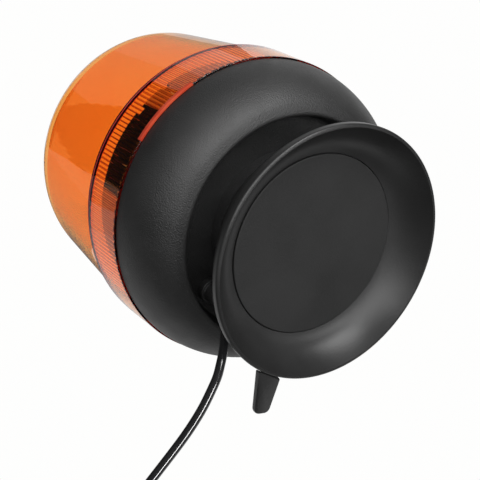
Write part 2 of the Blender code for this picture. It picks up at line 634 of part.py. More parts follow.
def strip_board(name, azimuth):
    """One upright board of the tower, with its emitters standing out of its face."""
    low = TOWER_Z + TOWER_FLANGE_THICKNESS + FIT
    high = TOWER_TOP - STRIP_MARGIN
    pitch = (high - low) / EMITTERS_PER_STRIP
    half = EMITTER_SIZE / 2
    rows = [low]
    for i in range(EMITTERS_PER_STRIP):
        middle = low + pitch * (i + 0.5)
        rows += [middle - half, middle + half]
    rows.append(high)
    columns = [-STRIP_WIDTH / 2, -half, half, STRIP_WIDTH / 2]
    bm = bmesh.new()
    grid = [[bm.verts.new((0.0, y, z)) for y in columns] for z in rows]
    faces = {}
    for i in range(len(rows) - 1):
        for j in range(len(columns) - 1):
            faces[i, j] = bm.faces.new((grid[i][j], grid[i][j + 1], grid[i + 1][j + 1], grid[i + 1][j]))
    lit = [face for (i, j), face in faces.items() if j == 1 and i % 2 == 1]
    grown = bmesh.ops.extrude_face_region(bm, geom=list(faces.values()), use_keep_orig=True)
    far = [item for item in grown["geom"] if isinstance(item, bmesh.types.BMVert)]
    bmesh.ops.translate(bm, verts=far, vec=(-STRIP_THICKNESS, 0, 0))
    raised = bmesh.ops.extrude_discrete_faces(bm, faces=lit)["faces"]
    fronts = list({corner for face in raised for corner in face.verts})
    bmesh.ops.translate(bm, verts=fronts, vec=(EMITTER_HEIGHT, 0, 0))
    flat_back = TOWER_FLATS / 2 + FIT
    place = Matrix.Rotation(math.radians(azimuth), 4, "Z") @ at(flat_back + STRIP_THICKNESS, 0.0, 0.0)
    return make(name, bm, WHITE_BOARD, place)


def light_tower():
    """Six-sided heat sink with a board on each side and one on top."""
    corner = TOWER_FLATS / 2 / math.cos(math.pi / TOWER_SIDES)
    flange_top = TOWER_Z + TOWER_FLANGE_THICKNESS
    flange = corner + TOWER_FLANGE
    core = turned("tower_core", [(TOWER_BORE, TOWER_TOP), (corner, TOWER_TOP), (corner, flange_top),
                                 (flange, flange_top), (flange, TOWER_Z), (TOWER_BORE, TOWER_Z)],
                  ALUMINIUM, TOWER_SIDES)
    holes = bmesh.new()
    for spot in spots(3, TOWER_SCREW_CIRCLE, 0.0):
        radius = SCREW_RADIUS + FIT
        spin_outline(holes, [(0.0, flange_top + FIT), (radius, flange_top + FIT), (radius, TOWER_Z - FIT),
                             (0.0, TOWER_Z - FIT)], 12, spot)
    combine(core, tool("tower_holes", holes), "DIFFERENCE")
    for i, spot in enumerate(spots(3, TOWER_SCREW_CIRCLE, 0.0)):
        reach = TOWER_FLANGE_THICKNESS + DRUM_WALL
        screw("tower_screw_%d" % (i + 1), spot.x, spot.y, flange_top + FIT, SCREW_RADIUS, reach, STEEL)
    for i in range(TOWER_SIDES):
        strip_board("led_strip_%d" % (i + 1), 360 / TOWER_SIDES * (i + 0.5))
    low = TOWER_TOP + FIT
    top = low + STRIP_THICKNESS
    crown = top + TOP_EMITTER_HEIGHT
    turned("top_led_board", [(0.0, crown), (TOP_EMITTER_RADIUS * 0.7, crown),
                             (TOP_EMITTER_RADIUS, top + TOP_EMITTER_HEIGHT * 0.4), (TOP_EMITTER_RADIUS, top),
                             (TOP_BOARD_RADIUS, top), (TOP_BOARD_RADIUS, low), (0.0, low)], WHITE_BOARD, 24)
    lead_top = TOWER_TOP - FIT
    tube("tower_lead", [(0.0, 0.0, BOARD_TOP + FIT), (0.0, 0.0, lead_top)], TOWER_LEAD_RADIUS, BLACK, 1)


def inner_wires():
    """Two cores from the end of the cord to the terminal block."""
    start = GLAND_TOP + CORD_STUB + FIT
    entry = TERMINAL_PLACE[1] + TERMINAL_SIZE[1] / 2 + FIT
    height = BOARD_TOP + FIT + TERMINAL_SIZE[2] / 2
    for name, side, material in (("supply_wire_red", -1, RED_WIRE), ("supply_wire_black", 1, CORD)):
        x_end = TERMINAL_PLACE[0] + side * TERMINAL_SIZE[0] / 4
        x_start = GLAND_X + side * WIRE_SPREAD / 2
        bend = (height - start) * 0.6
        stops = [(x_start, GLAND_Y, start), (x_start, GLAND_Y, start + bend),
                 ((x_start + x_end) / 2, GLAND_Y - bend, height), (x_end, entry + bend, height),
                 (x_end, entry, height)]
        tube(name, smooth_route(stops, 0.0025), WIRE_RADIUS, material, 1)


def cord_and_coil():
    """Cord out of the gland, past the cup and along the ground to the coil, and on to the plug."""
    out = COIL_MEAN_RADIUS + COIL_WIDTH / 2 + FIT + CORD_RADIUS
    ground = CORD_RADIUS + 0.00005
    coil_x, coil_y = COIL_PLACE
    lead = [(GLAND_X, GLAND_Y, GLAND_TOP + CORD_STUB), (GLAND_X, GLAND_Y, GLAND_FLANGE_TOP),
            (GLAND_X, GLAND_Y, GLAND_NOZZLE_Z - CORD_RADIUS),
            (-0.0078, 0.0394, 0.0222), (-0.0073, 0.0430, 0.0175), (-0.0068, 0.0481, 0.0135),
            (-0.0062, 0.0525, 0.0099), (-0.0057, 0.0569, 0.0071), (-0.0052, 0.0612, 0.0049),
            (-0.0050, 0.0665, 0.0031), (-0.0043, 0.0723, 0.0021), (-0.0035, 0.0785, ground),
            (-0.0029, 0.0850, ground), (-0.0027, 0.0926, ground), (-0.0027, 0.1050, ground),
            (-0.00275, 0.1200, ground), (coil_x - out, coil_y - 0.0120, COIL_Z + CORD_RADIUS * 0.6),
            (coil_x - out, coil_y, COIL_Z + CORD_RADIUS)]
    tube("power_cord", smooth_route(lead, 0.0042), CORD_RADIUS, CORD)

    low = COIL_MEAN_RADIUS - COIL_WIDTH / 2
    high = COIL_MEAN_RADIUS + COIL_WIDTH / 2
    soft = CORD_RADIUS
    top = COIL_Z + COIL_HEIGHT
    turned("cord_coil", [(high - soft, top), (high, top - soft), (high, COIL_Z + soft), (high - soft, COIL_Z),
                         (low + soft, COIL_Z), (low, COIL_Z + soft), (low, top - soft), (low + soft, top)],
           CORD, 28, at(coil_x, coil_y, 0.0))
    inside = math.sqrt(low ** 2 - (TIE_WIDTH / 2) ** 2) - TIE_SLACK
    outside = high + FIT
    for i, azimuth in enumerate(TIE_AZIMUTHS):
        bm = bmesh.new()
        inner = [(inside, COIL_Z - FIT), (outside, COIL_Z - FIT), (outside, top + FIT), (inside, top + FIT)]
        outer = [(inside - TIE_THICKNESS, 0.0), (outside + TIE_THICKNESS, 0.0),
                 (outside + TIE_THICKNESS, top + FIT + TIE_THICKNESS),
                 (inside - TIE_THICKNESS, top + FIT + TIE_THICKNESS)]
        rings = []
        for corners, y in ((outer, -TIE_WIDTH / 2), (outer, TIE_WIDTH / 2),
                           (inner, TIE_WIDTH / 2), (inner, -TIE_WIDTH / 2)):
            rings.append([bm.verts.new((x, y, z)) for x, z in corners])
        for here, there in zip(rings, rings[1:] + rings[:1]):
            for k in range(4):
                bm.faces.new((here[k - 1], here[k], there[k], there[k - 1]))
        make("cord_tie_%d" % (i + 1), bm, BLACK,
             at(coil_x, coil_y, 0.0) @ Matrix.Rotation(math.radians(azimuth), 4, "Z"))

    plug_x, plug_y = PLUG_PLACE
    tail = [(coil_x - 0.0104, coil_y + 0.0291, top - CORD_RADIUS), (0.0250, 0.1826, 0.0118),
            (0.0345, 0.1862, 0.0092), (0.0440, 0.1908, 0.0074), (0.0518, 0.1984, 0.0068),
            (0.0534, 0.2078, 0.0076), (0.0484, 0.2152, 0.0094), (0.0410, 0.2186, 0.0108),
            (plug_x + 0.0030, plug_y, PLUG_Z), (plug_x + FIT, plug_y, PLUG_Z)]
    tube("cord_tail", smooth_route(tail, 0.0045), CORD_RADIUS, CORD)


def half_shell(name, outline, upper, place):
    """Half of a turned shell, on one side of the plug's level parting face."""
    bm = bmesh.new()
    points = [bm.verts.new((0.0, -radius, z)) for radius, z in outline]
    face = bm.faces.new(points)
    bmesh.ops.spin(bm, geom=[face], cent=(0, 0, 0), axis=(0, 0, 1), dvec=(0, 0, 0),
                   angle=math.pi if upper else -math.pi, steps=12, use_duplicate=False)
    offset = FIT / 2 if upper else -FIT / 2
    bmesh.ops.translate(bm, verts=bm.verts, vec=(offset, 0, 0))
    return make(name, bm, BLACK, place)


def plug():
    """Vehicle accessory plug lying on its side, pointing to -X."""
    place = at(*PLUG_PLACE, PLUG_Z) @ Matrix.Rotation(-math.pi / 2, 4, "Y")
    shell_z = RELIEF_LENGTH + FIT
    barrel_z = shell_z + GRIP_LENGTH
    shell_end = barrel_z + BARREL_LENGTH
    cavity = BARREL_RADIUS - SHELL_WALL
    turned("plug_relief", [(0.0, RELIEF_LENGTH), (RELIEF_NECK_RADIUS, RELIEF_LENGTH),
                           (RELIEF_NECK_RADIUS * 0.92, RELIEF_LENGTH * 0.8),
                           (RELIEF_TAIL_RADIUS, RELIEF_LENGTH * 0.05), (RELIEF_TAIL_RADIUS * 0.9, 0.0),
                           (0.0, 0.0)], RUBBER, SMALL_ROUND, place)

    rear = CORD_RADIUS + SHELL_WALL
    outline = [(cavity, shell_end), (BARREL_RADIUS, shell_end), (BARREL_RADIUS, barrel_z + SHELL_WALL),
               (GRIP_RADIUS, barrel_z), (GRIP_RADIUS, shell_z + GRIP_LENGTH * 0.45),
               (GRIP_RADIUS * 0.84, shell_z + GRIP_LENGTH * 0.15), (rear + SHELL_WALL, shell_z),
               (CORD_RADIUS, shell_z), (CORD_RADIUS, shell_z + SHELL_WALL),
               (cavity, shell_z + GRIP_LENGTH * 0.4)]
    contact_z = shell_end - CONTACT_TUCK * 1.6 - CONTACT_LENGTH
    for name, upper in (("plug_shell_upper", True), ("plug_shell_lower", False)):
        shell = half_shell(name, outline, upper, place)
        window = bmesh.new()
        half_width = CONTACT_WIDTH / 2 + FIT
        reach = GRIP_RADIUS + SHELL_WALL
        prism_into(window, [(-half_width, -reach), (half_width, -reach), (half_width, reach),
                            (-half_width, reach)], contact_z, contact_z + CONTACT_LENGTH)
        cutter = tool(name + "_window", window)
        cutter.matrix_world = place
        combine(shell, cutter, "DIFFERENCE")

    nose_z = shell_end + FIT
    nose_end = nose_z + NOSE_LENGTH
    front = nose_end - NOSE_WALL
    shoulder = nose_z + NOSE_LENGTH * 0.4
    turned("plug_nose_ring", [(NOSE_FRONT_RADIUS, nose_end), (BARREL_RADIUS * 0.94, shoulder + NOSE_WALL * 0.6),
                              (BARREL_RADIUS, shoulder), (BARREL_RADIUS, nose_z),
                              (TIP_FLANGE_RADIUS + 2 * FIT, nose_z), (TIP_FLANGE_RADIUS + 2 * FIT, front),
                              (TIP_RADIUS + FIT, front), (TIP_RADIUS + FIT, nose_end)], BLACK, 20, place)

    flange = front - FIT
    back = flange - TIP_FLANGE_THICKNESS
    tip_end = nose_end + TIP_REACH
    turned("plug_tip", [(0.0, tip_end), (TIP_RADIUS * 0.7, tip_end - TIP_RADIUS * 0.15),
                        (TIP_RADIUS, tip_end - TIP_RADIUS * 0.6), (TIP_RADIUS, flange),
                        (TIP_FLANGE_RADIUS, flange), (TIP_FLANGE_RADIUS, back), (0.0, back)],
           BRASS, SMALL_ROUND, place)
    fuse_end = back - FIT
    fuse_z = fuse_end - FUSE_LENGTH
    turned("plug_fuse", [(0.0, fuse_end), (FUSE_RADIUS, fuse_end), (FUSE_RADIUS, fuse_z), (0.0, fuse_z)],
           GLASS, 12, place)
    spring_end = fuse_z - FIT
    spring_z = spring_end - SPRING_LENGTH
    coil = []
    for i in range(8 * SPRING_TURNS + 1):
        turn = math.pi / 4 * i
        lift = spring_z + SPRING_WIRE + (SPRING_LENGTH - 2 * SPRING_WIRE) * i / (8 * SPRING_TURNS)
        coil.append(place @ Vector((SPRING_RADIUS * math.cos(turn), SPRING_RADIUS * math.sin(turn), lift)))
    tube("plug_spring", coil, SPRING_WIRE, STEEL, 1)
    seat = spring_z - FIT
    seat_radius = cavity - FIT
    turned("plug_rear_contact", [(0.0, seat), (seat_radius, seat), (seat_radius, seat - NOSE_WALL / 2),
                                 (0.0, seat - NOSE_WALL / 2)], BRASS, 24, place)

    start = contact_z - CONTACT_TUCK
    end = contact_z + CONTACT_LENGTH + CONTACT_TUCK
    tucked = math.sqrt(cavity ** 2 - (CONTACT_WIDTH / 2) ** 2) - FIT
    crest = BARREL_RADIUS + CONTACT_BULGE
    ramp = CONTACT_LENGTH * 0.25
    path = [(start, tucked), (contact_z, tucked), (contact_z + ramp, crest),
            (contact_z + CONTACT_LENGTH - ramp, crest), (contact_z + CONTACT_LENGTH, tucked), (end, tucked)]
    for i, side in enumerate((1, -1)):
        outline = [(z, radius) for z, radius in path]
        outline += [(z, radius - CONTACT_THICKNESS) for z, radius in path[::-1]]
        pivot = Vector((0.0, side * (tucked - CONTACT_THICKNESS / 2), end - CONTACT_TUCK / 2))
        bm = bmesh.new()
        face = bm.faces.new([bm.verts.new((-CONTACT_WIDTH / 2, side * radius - pivot.y, z - pivot.z))
                             for z, radius in outline])
        grown = bmesh.ops.extrude_face_region(bm, geom=[face])
        far = [item for item in grown["geom"] if isinstance(item, bmesh.types.BMVert)]
        bmesh.ops.translate(bm, verts=far, vec=(CONTACT_WIDTH, 0, 0))
        make("plug_side_contact_%d" % (i + 1), bm, STEEL, place @ Matrix.Translation(pivot))


suction_base()
release_tab()
base_fixing()
base_bowl()
cable_entry()
lens_and_gasket()
drum()
driver_board()
light_tower()
inner_wires()
cord_and_coil()
plug()
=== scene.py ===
"""Looks for the amber LED warning beacon: fine shapes, materials, camera and a plain studio."""

import json
from math import asin, ceil, cos, degrees, hypot, pi, radians, sin, tan

import bmesh
import bpy
from mathutils import Matrix, Vector

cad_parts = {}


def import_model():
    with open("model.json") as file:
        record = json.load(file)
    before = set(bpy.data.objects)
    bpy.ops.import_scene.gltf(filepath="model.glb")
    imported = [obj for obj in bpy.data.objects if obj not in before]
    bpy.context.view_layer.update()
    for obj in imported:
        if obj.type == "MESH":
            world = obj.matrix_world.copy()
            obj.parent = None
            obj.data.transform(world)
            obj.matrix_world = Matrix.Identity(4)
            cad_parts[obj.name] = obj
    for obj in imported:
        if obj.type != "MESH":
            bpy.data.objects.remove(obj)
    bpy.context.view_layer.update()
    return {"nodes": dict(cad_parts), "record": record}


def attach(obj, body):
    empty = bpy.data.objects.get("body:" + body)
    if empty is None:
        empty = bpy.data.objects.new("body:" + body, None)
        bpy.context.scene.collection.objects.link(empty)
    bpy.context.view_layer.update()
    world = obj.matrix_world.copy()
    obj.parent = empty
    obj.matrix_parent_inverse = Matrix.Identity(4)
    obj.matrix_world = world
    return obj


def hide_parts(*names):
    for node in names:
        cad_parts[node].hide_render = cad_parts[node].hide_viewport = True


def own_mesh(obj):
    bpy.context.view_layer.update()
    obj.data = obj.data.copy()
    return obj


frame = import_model()
nodes = frame["nodes"]

# Camera of the photograph, in the part's frame
CAMERA_PLACE = (-0.20580, 0.03591, -0.21143)
CAMERA_RIGHT = Vector((0.594062, -0.615742, -0.517642))
CAMERA_UP = Vector((-0.517603, -0.785181, 0.339968))
CAMERA_BACK = Vector((-0.615774, 0.065970, -0.785155))
CAMERA_LENS = 60.0
SENSOR_WIDTH = 36.0
CLIP_START = 0.01

# Sizes are in metres and angles in degrees; the main ones are those of the part's source
FIT = 0.0003
ARC_STEP = 1.5
MERGE_DISTANCE = 0.0000001

# Suction cup and pad
CUP_RADIUS = 0.0502
CUP_WALL = 0.0031
CUP_TOP = 0.0281
CUP_POCKET_RADIUS = 0.0313
CUP_POCKET_TOP = 0.0249
BOLT_HOLE = 0.0034
LIP_HEIGHT = 0.0036
LIP_FLAT = 0.0014
LIP_TUCK = 0.0008
# Inset and height round the lip's edge, then shares of the way in and up the flank
LIP_EDGE = ((0.0007, 0.0), (0.0004, 0.0001), (0.00015, 0.0003), (0.0, 0.0008), (0.0, 0.0028),
            (0.0003, 0.0033))
FLARE = ((0.32, 0.20), (0.62, 0.36), (1.0, 0.52))
NECK_RISE = (0.72, 0.92)
NECK_FILLET = 0.0008
DISH_DEPTH = 0.0120
DISH_FLARE = 0.22
DISH_BEND = 2.6
DISH_STEPS = 24
PAD_RADIUS = 0.0365
PAD_PROUD = 0.0005
PAD_TOP = 0.0140
PAD_FILLET = 0.0004

# Pull tab
TAB_AZIMUTH = 76.6
TAB_LEAN = 56.8
TAB_LENGTH = 0.0163
TAB_ROOT_WIDTH = 0.0112
TAB_ROOT_FILLET = 0.0004
TAB_TIP_WIDTH = 0.0064
TAB_TIP_FILLET = 0.0026
TAB_LOW = 0.0005
TAB_HIGH = 0.0031
TAB_SOFT = 0.0008

# Bowl
BOWL_Z = 0.0284
BOWL_WALL = 0.0030
BOWL_ROUNDING = 1.75
BOWL_STEPS = 36
RIM_Z = 0.0529
RIM_RADIUS = 0.0641
FOOT_RADIUS = 0.0486
FOOT_STEPS = 4
FOOT_EDGE_WIDTH = 0.0004
FOOT_EDGE_DROP = 0.0010
FOOT_EDGE_FILLET = 0.0018
GROOVE_RADIUS = 0.0462
GROOVE_Z = 0.0372
GROOVE_DRAFT = 0.0009
GROOVE_FILLET = 0.0016
GROOVE_WALL_RISE = 1.3
GROOVE_FLOOR_REACH = 0.0021
BOSS_RADIUS = 0.0300
BOSS_DRAFT = 0.0014
BOSS_FILLET = 0.0010
INNER_RADIUS = RIM_RADIUS - BOWL_WALL
INNER_FOOT_REACH = 0.0039
LEDGE_WIDTH = 0.0020
LEDGE_Z = 0.0493
LEDGE_TOP = 0.0513
PILLAR_CIRCLE = 0.0380
PILLAR_AZIMUTH = 30.0
PILLAR_RADIUS = 0.0040
PILLAR_BORE = 0.0015
PILLAR_TOP = 0.0801
POST_CIRCLE = 0.0300
POST_AZIMUTH = 45.0
POST_RADIUS = 0.0025
POST_BORE = 0.0011
POST_TOP = 0.0462

# Lens
LENS_Z = RIM_Z + FIT
LENS_WALL = 0.0030
BAND_FOOT_RADIUS = 0.0648
BAND_FOOT_FILLET = 0.0002
BAND_RADIUS = 0.0662
BAND_TOP = 0.0765
BAND_FILLET = 0.0008
STEP_CHAMFER = 0.0012
STEP_FILLET = 0.0016
INNER_STEP = 0.0060
INNER_STEP_TUCK = 0.0002
WALL_FOOT_RADIUS = 0.0648
SHOULDER_RADIUS = 0.0622
SHOULDER_Z = 0.1398
CAP_HEIGHT = 0.0352
CAP_STEPS = 24
SKIRT_RADIUS = 0.0586
SKIRT_WALL = 0.0021
SKIRT_Z = LENS_Z - 0.0070
LUGS = 3
LUG_ANGLE = 12.0
LUG_STEPS = 6
LUG_HEIGHT = 0.0028
LUG_REACH = 0.0018
FLUTES = 114
FLUTE_DEPTH = 0.00008
FLUTE_EDGE = 0.02
FLUTE_LINE = 0.28
# Opaque dark red strip at the band's foot: painted shade standing in for the amber flange seen in shade
FOOT_SHADE_ARC = (171.0, 197.0)
FOOT_SHADE_RISE = 0.0005
FOOT_SHADE_SINK = 0.0001
FOOT_SHADE_BAND = (0.0530, 0.0552)
FOOT_SHADE_FILLET = 0.0005

# Drum, and pale strips on it that stand in for light coming through the band (painted light)
DRUM_RADIUS = 0.0559
DRUM_TOP = 0.0828
DRUM_WALL = 0.0024
DRUM_FILLET = 0.0008
DRUM_OPENING = 0.0090
DRUM_NOTCH_PAIRS = 3
DRUM_NOTCH_DEPTH = 0.0035
DRUM_NOTCH_ANGLE = 3.5
DRUM_NOTCH_GAP = 14.0
DRUM_NOTCH_START = 182.0
LIGHT_STRIP_THICKNESS = 0.0003
LIGHT_STRIP_ARC = (185.0, 267.0)
LIGHT_STRIP_TOP_GAP = 0.0009
LIGHT_STRIP_SLOPE = 0.05

# Gland, cord, coil and ties
CORD_RADIUS = 0.00175
CORD_START_Z = 0.0460
GLAND_CIRCLE = 0.0385
GLAND_AZIMUTH = 102.0
GLAND_TOP = 0.0452
GLAND_STEM_RADIUS = 0.0034
GLAND_FLANGE_RADIUS = 0.0052
GLAND_FLANGE_THICKNESS = 0.0032
GLAND_FLANGE_FILLET = 0.0010
GLAND_NOZZLE_LENGTH = 0.0062
GLAND_NOZZLE_RADII = (0.0041, 0.0038)
GLAND_NOZZLE_FILLETS = (0.0005, 0.0012)
COIL_PLACE = (0.0277, 0.1500)
COIL_Z = 0.0013
COIL_TURNS = 15
COIL_LAYERS = 4
COIL_OUTER = 0.02655
COIL_COLUMN_PITCH = 0.0037
COIL_FIRST_LEVEL = 0.00318
COIL_LAYER_PITCH = 0.00375
COIL_LEAD_RADIUS = 0.03045
COIL_BOTTOM = 0.0010
COIL_TOP = 0.0166
TIE_REACH = (0.01287, 0.0287)
TIE_WIDTH = 0.0060
TIE_THICKNESS = 0.0010
TIE_FILLETS = (0.0022, 0.0012)
TIE_AZIMUTHS = (45.0, 225.0)
LOCK_SHARE = 0.62
LOCK_FILLET = 0.0008
LOCK_HEIGHT = 0.0014

# Plug
PLUG_PLACE = (0.0335, 0.2190, 0.01115)
RELIEF_LENGTH = 0.0200
RELIEF_TAIL_LENGTH = 0.0010
RELIEF_TAIL_RADIUS = 0.0026
RELIEF_CONE_LENGTH = 0.0150
RELIEF_NECK_RADIUS = 0.0044
RELIEF_NECK_Z = 0.0194
RELIEF_RINGS = (6, 0.0020, 0.0023)
RELIEF_GROOVE = ((0.0, 0.0), (0.0003, 0.0005), (0.0009, 0.0005), (0.0012, 0.0))
GRIP_RADIUS = 0.0110
GRIP_LENGTH = 0.0240
GRIP_REAR = ((0.0085, 0.0024), (0.0101, 0.0062), (GRIP_RADIUS, 0.0108))
GRIP_RINGS = (5, 0.0122, 0.0022)
GRIP_GROOVE = ((0.0, 0.0), (0.0004, 0.0006), (0.0010, 0.0006), (0.0014, 0.0))
BARREL_RADIUS = 0.0104
BARREL_LENGTH = 0.0236
SHELL_WALL = 0.0022
SHELL_CHAMFER = 0.0004
SHOULDER_CHAMFER = 0.0003
SPRING_Z = 0.0342
SPRING_LENGTH = 0.0086
SPRING_RADIUS = 0.0026
SPRING_WIRE = 0.0004
SPRING_TURNS = 4
CONTACT_LENGTH = 0.0150
CONTACT_TUCK = 0.0028
CONTACT_WIDTH = 0.0046

# Light sources on the tower
EMITTER_FACE = 0.0183
EMITTER_ROWS = (0.0859, 0.1301)
EMITTERS_PER_STRIP = 3
STRIPS = 6
STRIP_AZIMUTH = 30.0
TOP_EMITTER_Z = 0.1361
TOP_WINDOW_RADIUS = 0.0042
WINDOW_HALF = 0.0020
WINDOW_FILLET = 0.0006
WINDOW_SINK = 0.0001
WINDOW_RISE = 0.0002

# Studio
LAMP_AIM = Vector((0.0, 0.0, 0.06))
LAMP_DISTANCE = 0.9
TOP_LAMP_DISTANCE = 1.2
FLOOR_SIZE = 3.0
FLOOR_DROP = 0.0002
WALL_DISTANCE = 1.6
WALL_ROWS = 16
WALL_COLUMNS = 32

GLAND_PLACE = (GLAND_CIRCLE * cos(radians(GLAND_AZIMUTH)), GLAND_CIRCLE * sin(radians(GLAND_AZIMUTH)))
GLAND_FLANGE_TOP = GROOVE_Z - FIT
GLAND_NOZZLE_Z = GLAND_FLANGE_TOP - GLAND_FLANGE_THICKNESS - GLAND_NOZZLE_LENGTH
PLUG_FRAME = Matrix.Translation(PLUG_PLACE) @ Matrix.Rotation(-pi / 2, 4, "Y")


def blank(name):
    """A new material with its shader."""
    material = bpy.data.materials.new(name)
    material.use_nodes = True
    tree = material.node_tree
    return material, tree, tree.nodes["Principled BSDF"]


def dial(node, settings):
    """Set a node's inputs by name."""
    for name, value in settings.items():
        node.inputs[name].default_value = value


def noise(tree, size, detail=3.0):
    """Solid noise in object space whose features are about the given size."""
    place = tree.nodes.new("ShaderNodeTexCoord")
    texture = tree.nodes.new("ShaderNodeTexNoise")
    dial(texture, {"Scale": 1.0 / size, "Detail": detail})
    tree.links.new(place.outputs["Object"], texture.inputs["Vector"])
    return texture.outputs["Fac"]


def spread(tree, value, low, high):
    """Map a noise value from its usual range onto low..high."""
    step = tree.nodes.new("ShaderNodeMapRange")
    dial(step, {"From Min": 0.3, "From Max": 0.7, "To Min": low, "To Max": high})
    tree.links.new(value, step.inputs["Value"])
    return step.outputs["Result"]


def tones(tree, value, dark, light):
    """Blend two colours by a noise value."""
    ramp = tree.nodes.new("ShaderNodeValToRGB")
    for stop, position, tone in zip(ramp.color_ramp.elements, (0.35, 0.65), (dark, light)):
        stop.position = position
        stop.color = (*tone, 1.0)
    tree.links.new(value, ramp.inputs["Fac"])
    return ramp.outputs["Color"]


def relief(tree, shader, value, depth, strength=1.0):
    """Fine surface relief."""
    bump = tree.nodes.new("ShaderNodeBump")
    dial(bump, {"Strength": strength, "Distance": depth})
    tree.links.new(value, bump.inputs["Height"])
    tree.links.new(bump.outputs["Normal"], shader.inputs["Normal"])


def surface(name, dark, light, patch, rough, grain, depth, metallic=0.0, specular=0.5):
    """A moulded or metal surface: uneven tone and gloss in patches, and a fine grain."""
    material, tree, shader = blank(name)
    tree.links.new(tones(tree, noise(tree, patch), dark, light), shader.inputs["Base Color"])
    tree.links.new(spread(tree, noise(tree, patch * 0.6), *rough), shader.inputs["Roughness"])
    relief(tree, shader, noise(tree, grain, 2.0), depth)
    dial(shader, {"Metallic": metallic, "Specular IOR Level": specular})
    return material


def grey(level):
    """A neutral colour."""
    return (level, level, level)


def clear(name, dark, light, ior):
    """A clear moulding, very slightly uneven in tint and surface."""
    tint_patch = 0.03
    gloss_patch = 0.02
    ripple = 0.012
    ripple_depth = 0.00002
    material, tree, shader = blank(name)
    tree.links.new(tones(tree, noise(tree, tint_patch), dark, light), shader.inputs["Base Color"])
    tree.links.new(spread(tree, noise(tree, gloss_patch), 0.0, 0.02), shader.inputs["Roughness"])
    relief(tree, shader, noise(tree, ripple, 1.0), ripple_depth, 0.5)
    dial(shader, {"Transmission Weight": 1.0, "IOR": ior})
    return material


def math_node(tree, operation, first, second):
    """One sum on values or sockets."""
    node = tree.nodes.new("ShaderNodeMath")
    node.operation = operation
    for place, value in zip(node.inputs, (first, second)):
        if isinstance(value, (int, float)):
            place.default_value = value
        else:
            tree.links.new(value, place)
    return node.outputs["Value"]


def blend(tree, share, first, second):
    """Show one shader or the other on the whole surface, by a share from 0 to 1."""
    mix = tree.nodes.new("ShaderNodeMixShader")
    tree.links.new(share, mix.inputs["Fac"])
    tree.links.new(first, mix.inputs[1])
    tree.links.new(second, mix.inputs[2])
    end = next(node for node in tree.nodes if node.type in ("OUTPUT_MATERIAL", "OUTPUT_WORLD"))
    tree.links.new(mix.outputs["Shader"], end.inputs["Surface"])


def shade_flutes_and_step(material, flute_shade, step_shade):
    """Painted shade: darken the tint in thin lines along the flutes of the band and round the step above it,
    where refraction in the real lens makes dark lines.
    """
    tree = material.node_tree
    shader = tree.nodes["Principled BSDF"]
    tint = shader.inputs["Base Color"].links[0].from_socket
    place = tree.nodes.new("ShaderNodeTexCoord")
    axes = tree.nodes.new("ShaderNodeSeparateXYZ")
    tree.links.new(place.outputs["Object"], axes.inputs["Vector"])
    height = axes.outputs["Z"]
    turn = math_node(tree, "ARCTAN2", axes.outputs["Y"], axes.outputs["X"])
    wave = math_node(tree, "PINGPONG", math_node(tree, "MULTIPLY", turn, 2 * FLUTES / pi), 1.0)
    # Mask of the painted shade lines along the flutes
    line = math_node(tree, "LESS_THAN", wave, FLUTE_LINE)
    in_band = math_node(tree, "LESS_THAN", height, BAND_TOP - STEP_CHAMFER / 2)
    # Mask of the painted shade round the step
    in_step = math_node(tree, "COMPARE", height, BAND_TOP + STEP_CHAMFER / 2)
    in_step.node.inputs[2].default_value = STEP_CHAMFER * 0.9
    for share, deep in ((math_node(tree, "MULTIPLY", line, in_band), flute_shade), (in_step, step_shade)):
        mix = tree.nodes.new("ShaderNodeMix")
        mix.data_type = "RGBA"
        tree.links.new(share, mix.inputs["Factor"])
        tree.links.new(tint, mix.inputs["A"])
        mix.inputs["B"].default_value = (*deep, 1.0)
        tint = mix.outputs["Result"]
    tree.links.new(tint, shader.inputs["Base Color"])


# Each surface: dark and light tone, patch size, roughness range, grain size and grain depth
BOWL_BLACK = surface("bowl_black", grey(0.006), grey(0.009), 0.02, (0.46, 0.55), 0.0005, 0.00022,
                     specular=0.68)
CUP_RUBBER = surface("cup_rubber", grey(0.010), grey(0.014), 0.03, (0.34, 0.44), 0.0008, 0.00004)
PAD_RUBBER = surface("pad_rubber", grey(0.006), grey(0.009), 0.025, (0.60, 0.70), 0.0009, 0.00008)
DRUM_BLACK = surface("drum_black", grey(0.006), grey(0.009), 0.02, (0.60, 0.70), 0.0006, 0.00003,
                     specular=0.1)
PLAIN_BLACK = surface("plain_black", grey(0.009), grey(0.013), 0.02, (0.38, 0.48), 0.0006, 0.00003)
CORD_BLACK = surface("cord_black", (0.009, 0.009, 0.010), grey(0.013), 0.02, (0.12, 0.17), 0.0012, 0.00001,
                     specular=0.9)
ZINC = surface("zinc_plate", (0.56, 0.57, 0.57), (0.68, 0.68, 0.66), 0.004, (0.26, 0.36), 0.0005, 0.00001,
               metallic=1.0)
FERRITE = surface("ferrite_grey", (0.050, 0.050, 0.054), (0.075, 0.075, 0.08), 0.003, (0.5, 0.62),
                  0.0004, 0.00003)
ALUMINIUM = surface("aluminium_plain", (0.72, 0.72, 0.74), (0.82, 0.82, 0.83), 0.006, (0.3, 0.4),
                    0.0004, 0.00001, metallic=1.0)
BRASS = surface("brass_turned", (0.70, 0.52, 0.22), (0.80, 0.63, 0.31), 0.005, (0.20, 0.30),
                0.0004, 0.00001, metallic=1.0)
COPPER = surface("copper_enamel", (0.52, 0.20, 0.08), (0.66, 0.28, 0.12), 0.0015, (0.25, 0.35),
                 0.0006, 0.00003, metallic=1.0)
GREEN_BOARD = surface("board_green", (0.012, 0.12, 0.04), (0.024, 0.18, 0.07), 0.006, (0.35, 0.45),
                      0.0008, 0.00002)
WHITE_BOARD = surface("board_white", (0.74, 0.74, 0.71), (0.84, 0.84, 0.81), 0.006, (0.4, 0.5),
                      0.0008, 0.00002)
TERMINAL_GREEN = surface("terminal_green", (0.03, 0.20, 0.09), (0.05, 0.26, 0.13), 0.006, (0.3, 0.4),
                         0.0006, 0.00002)
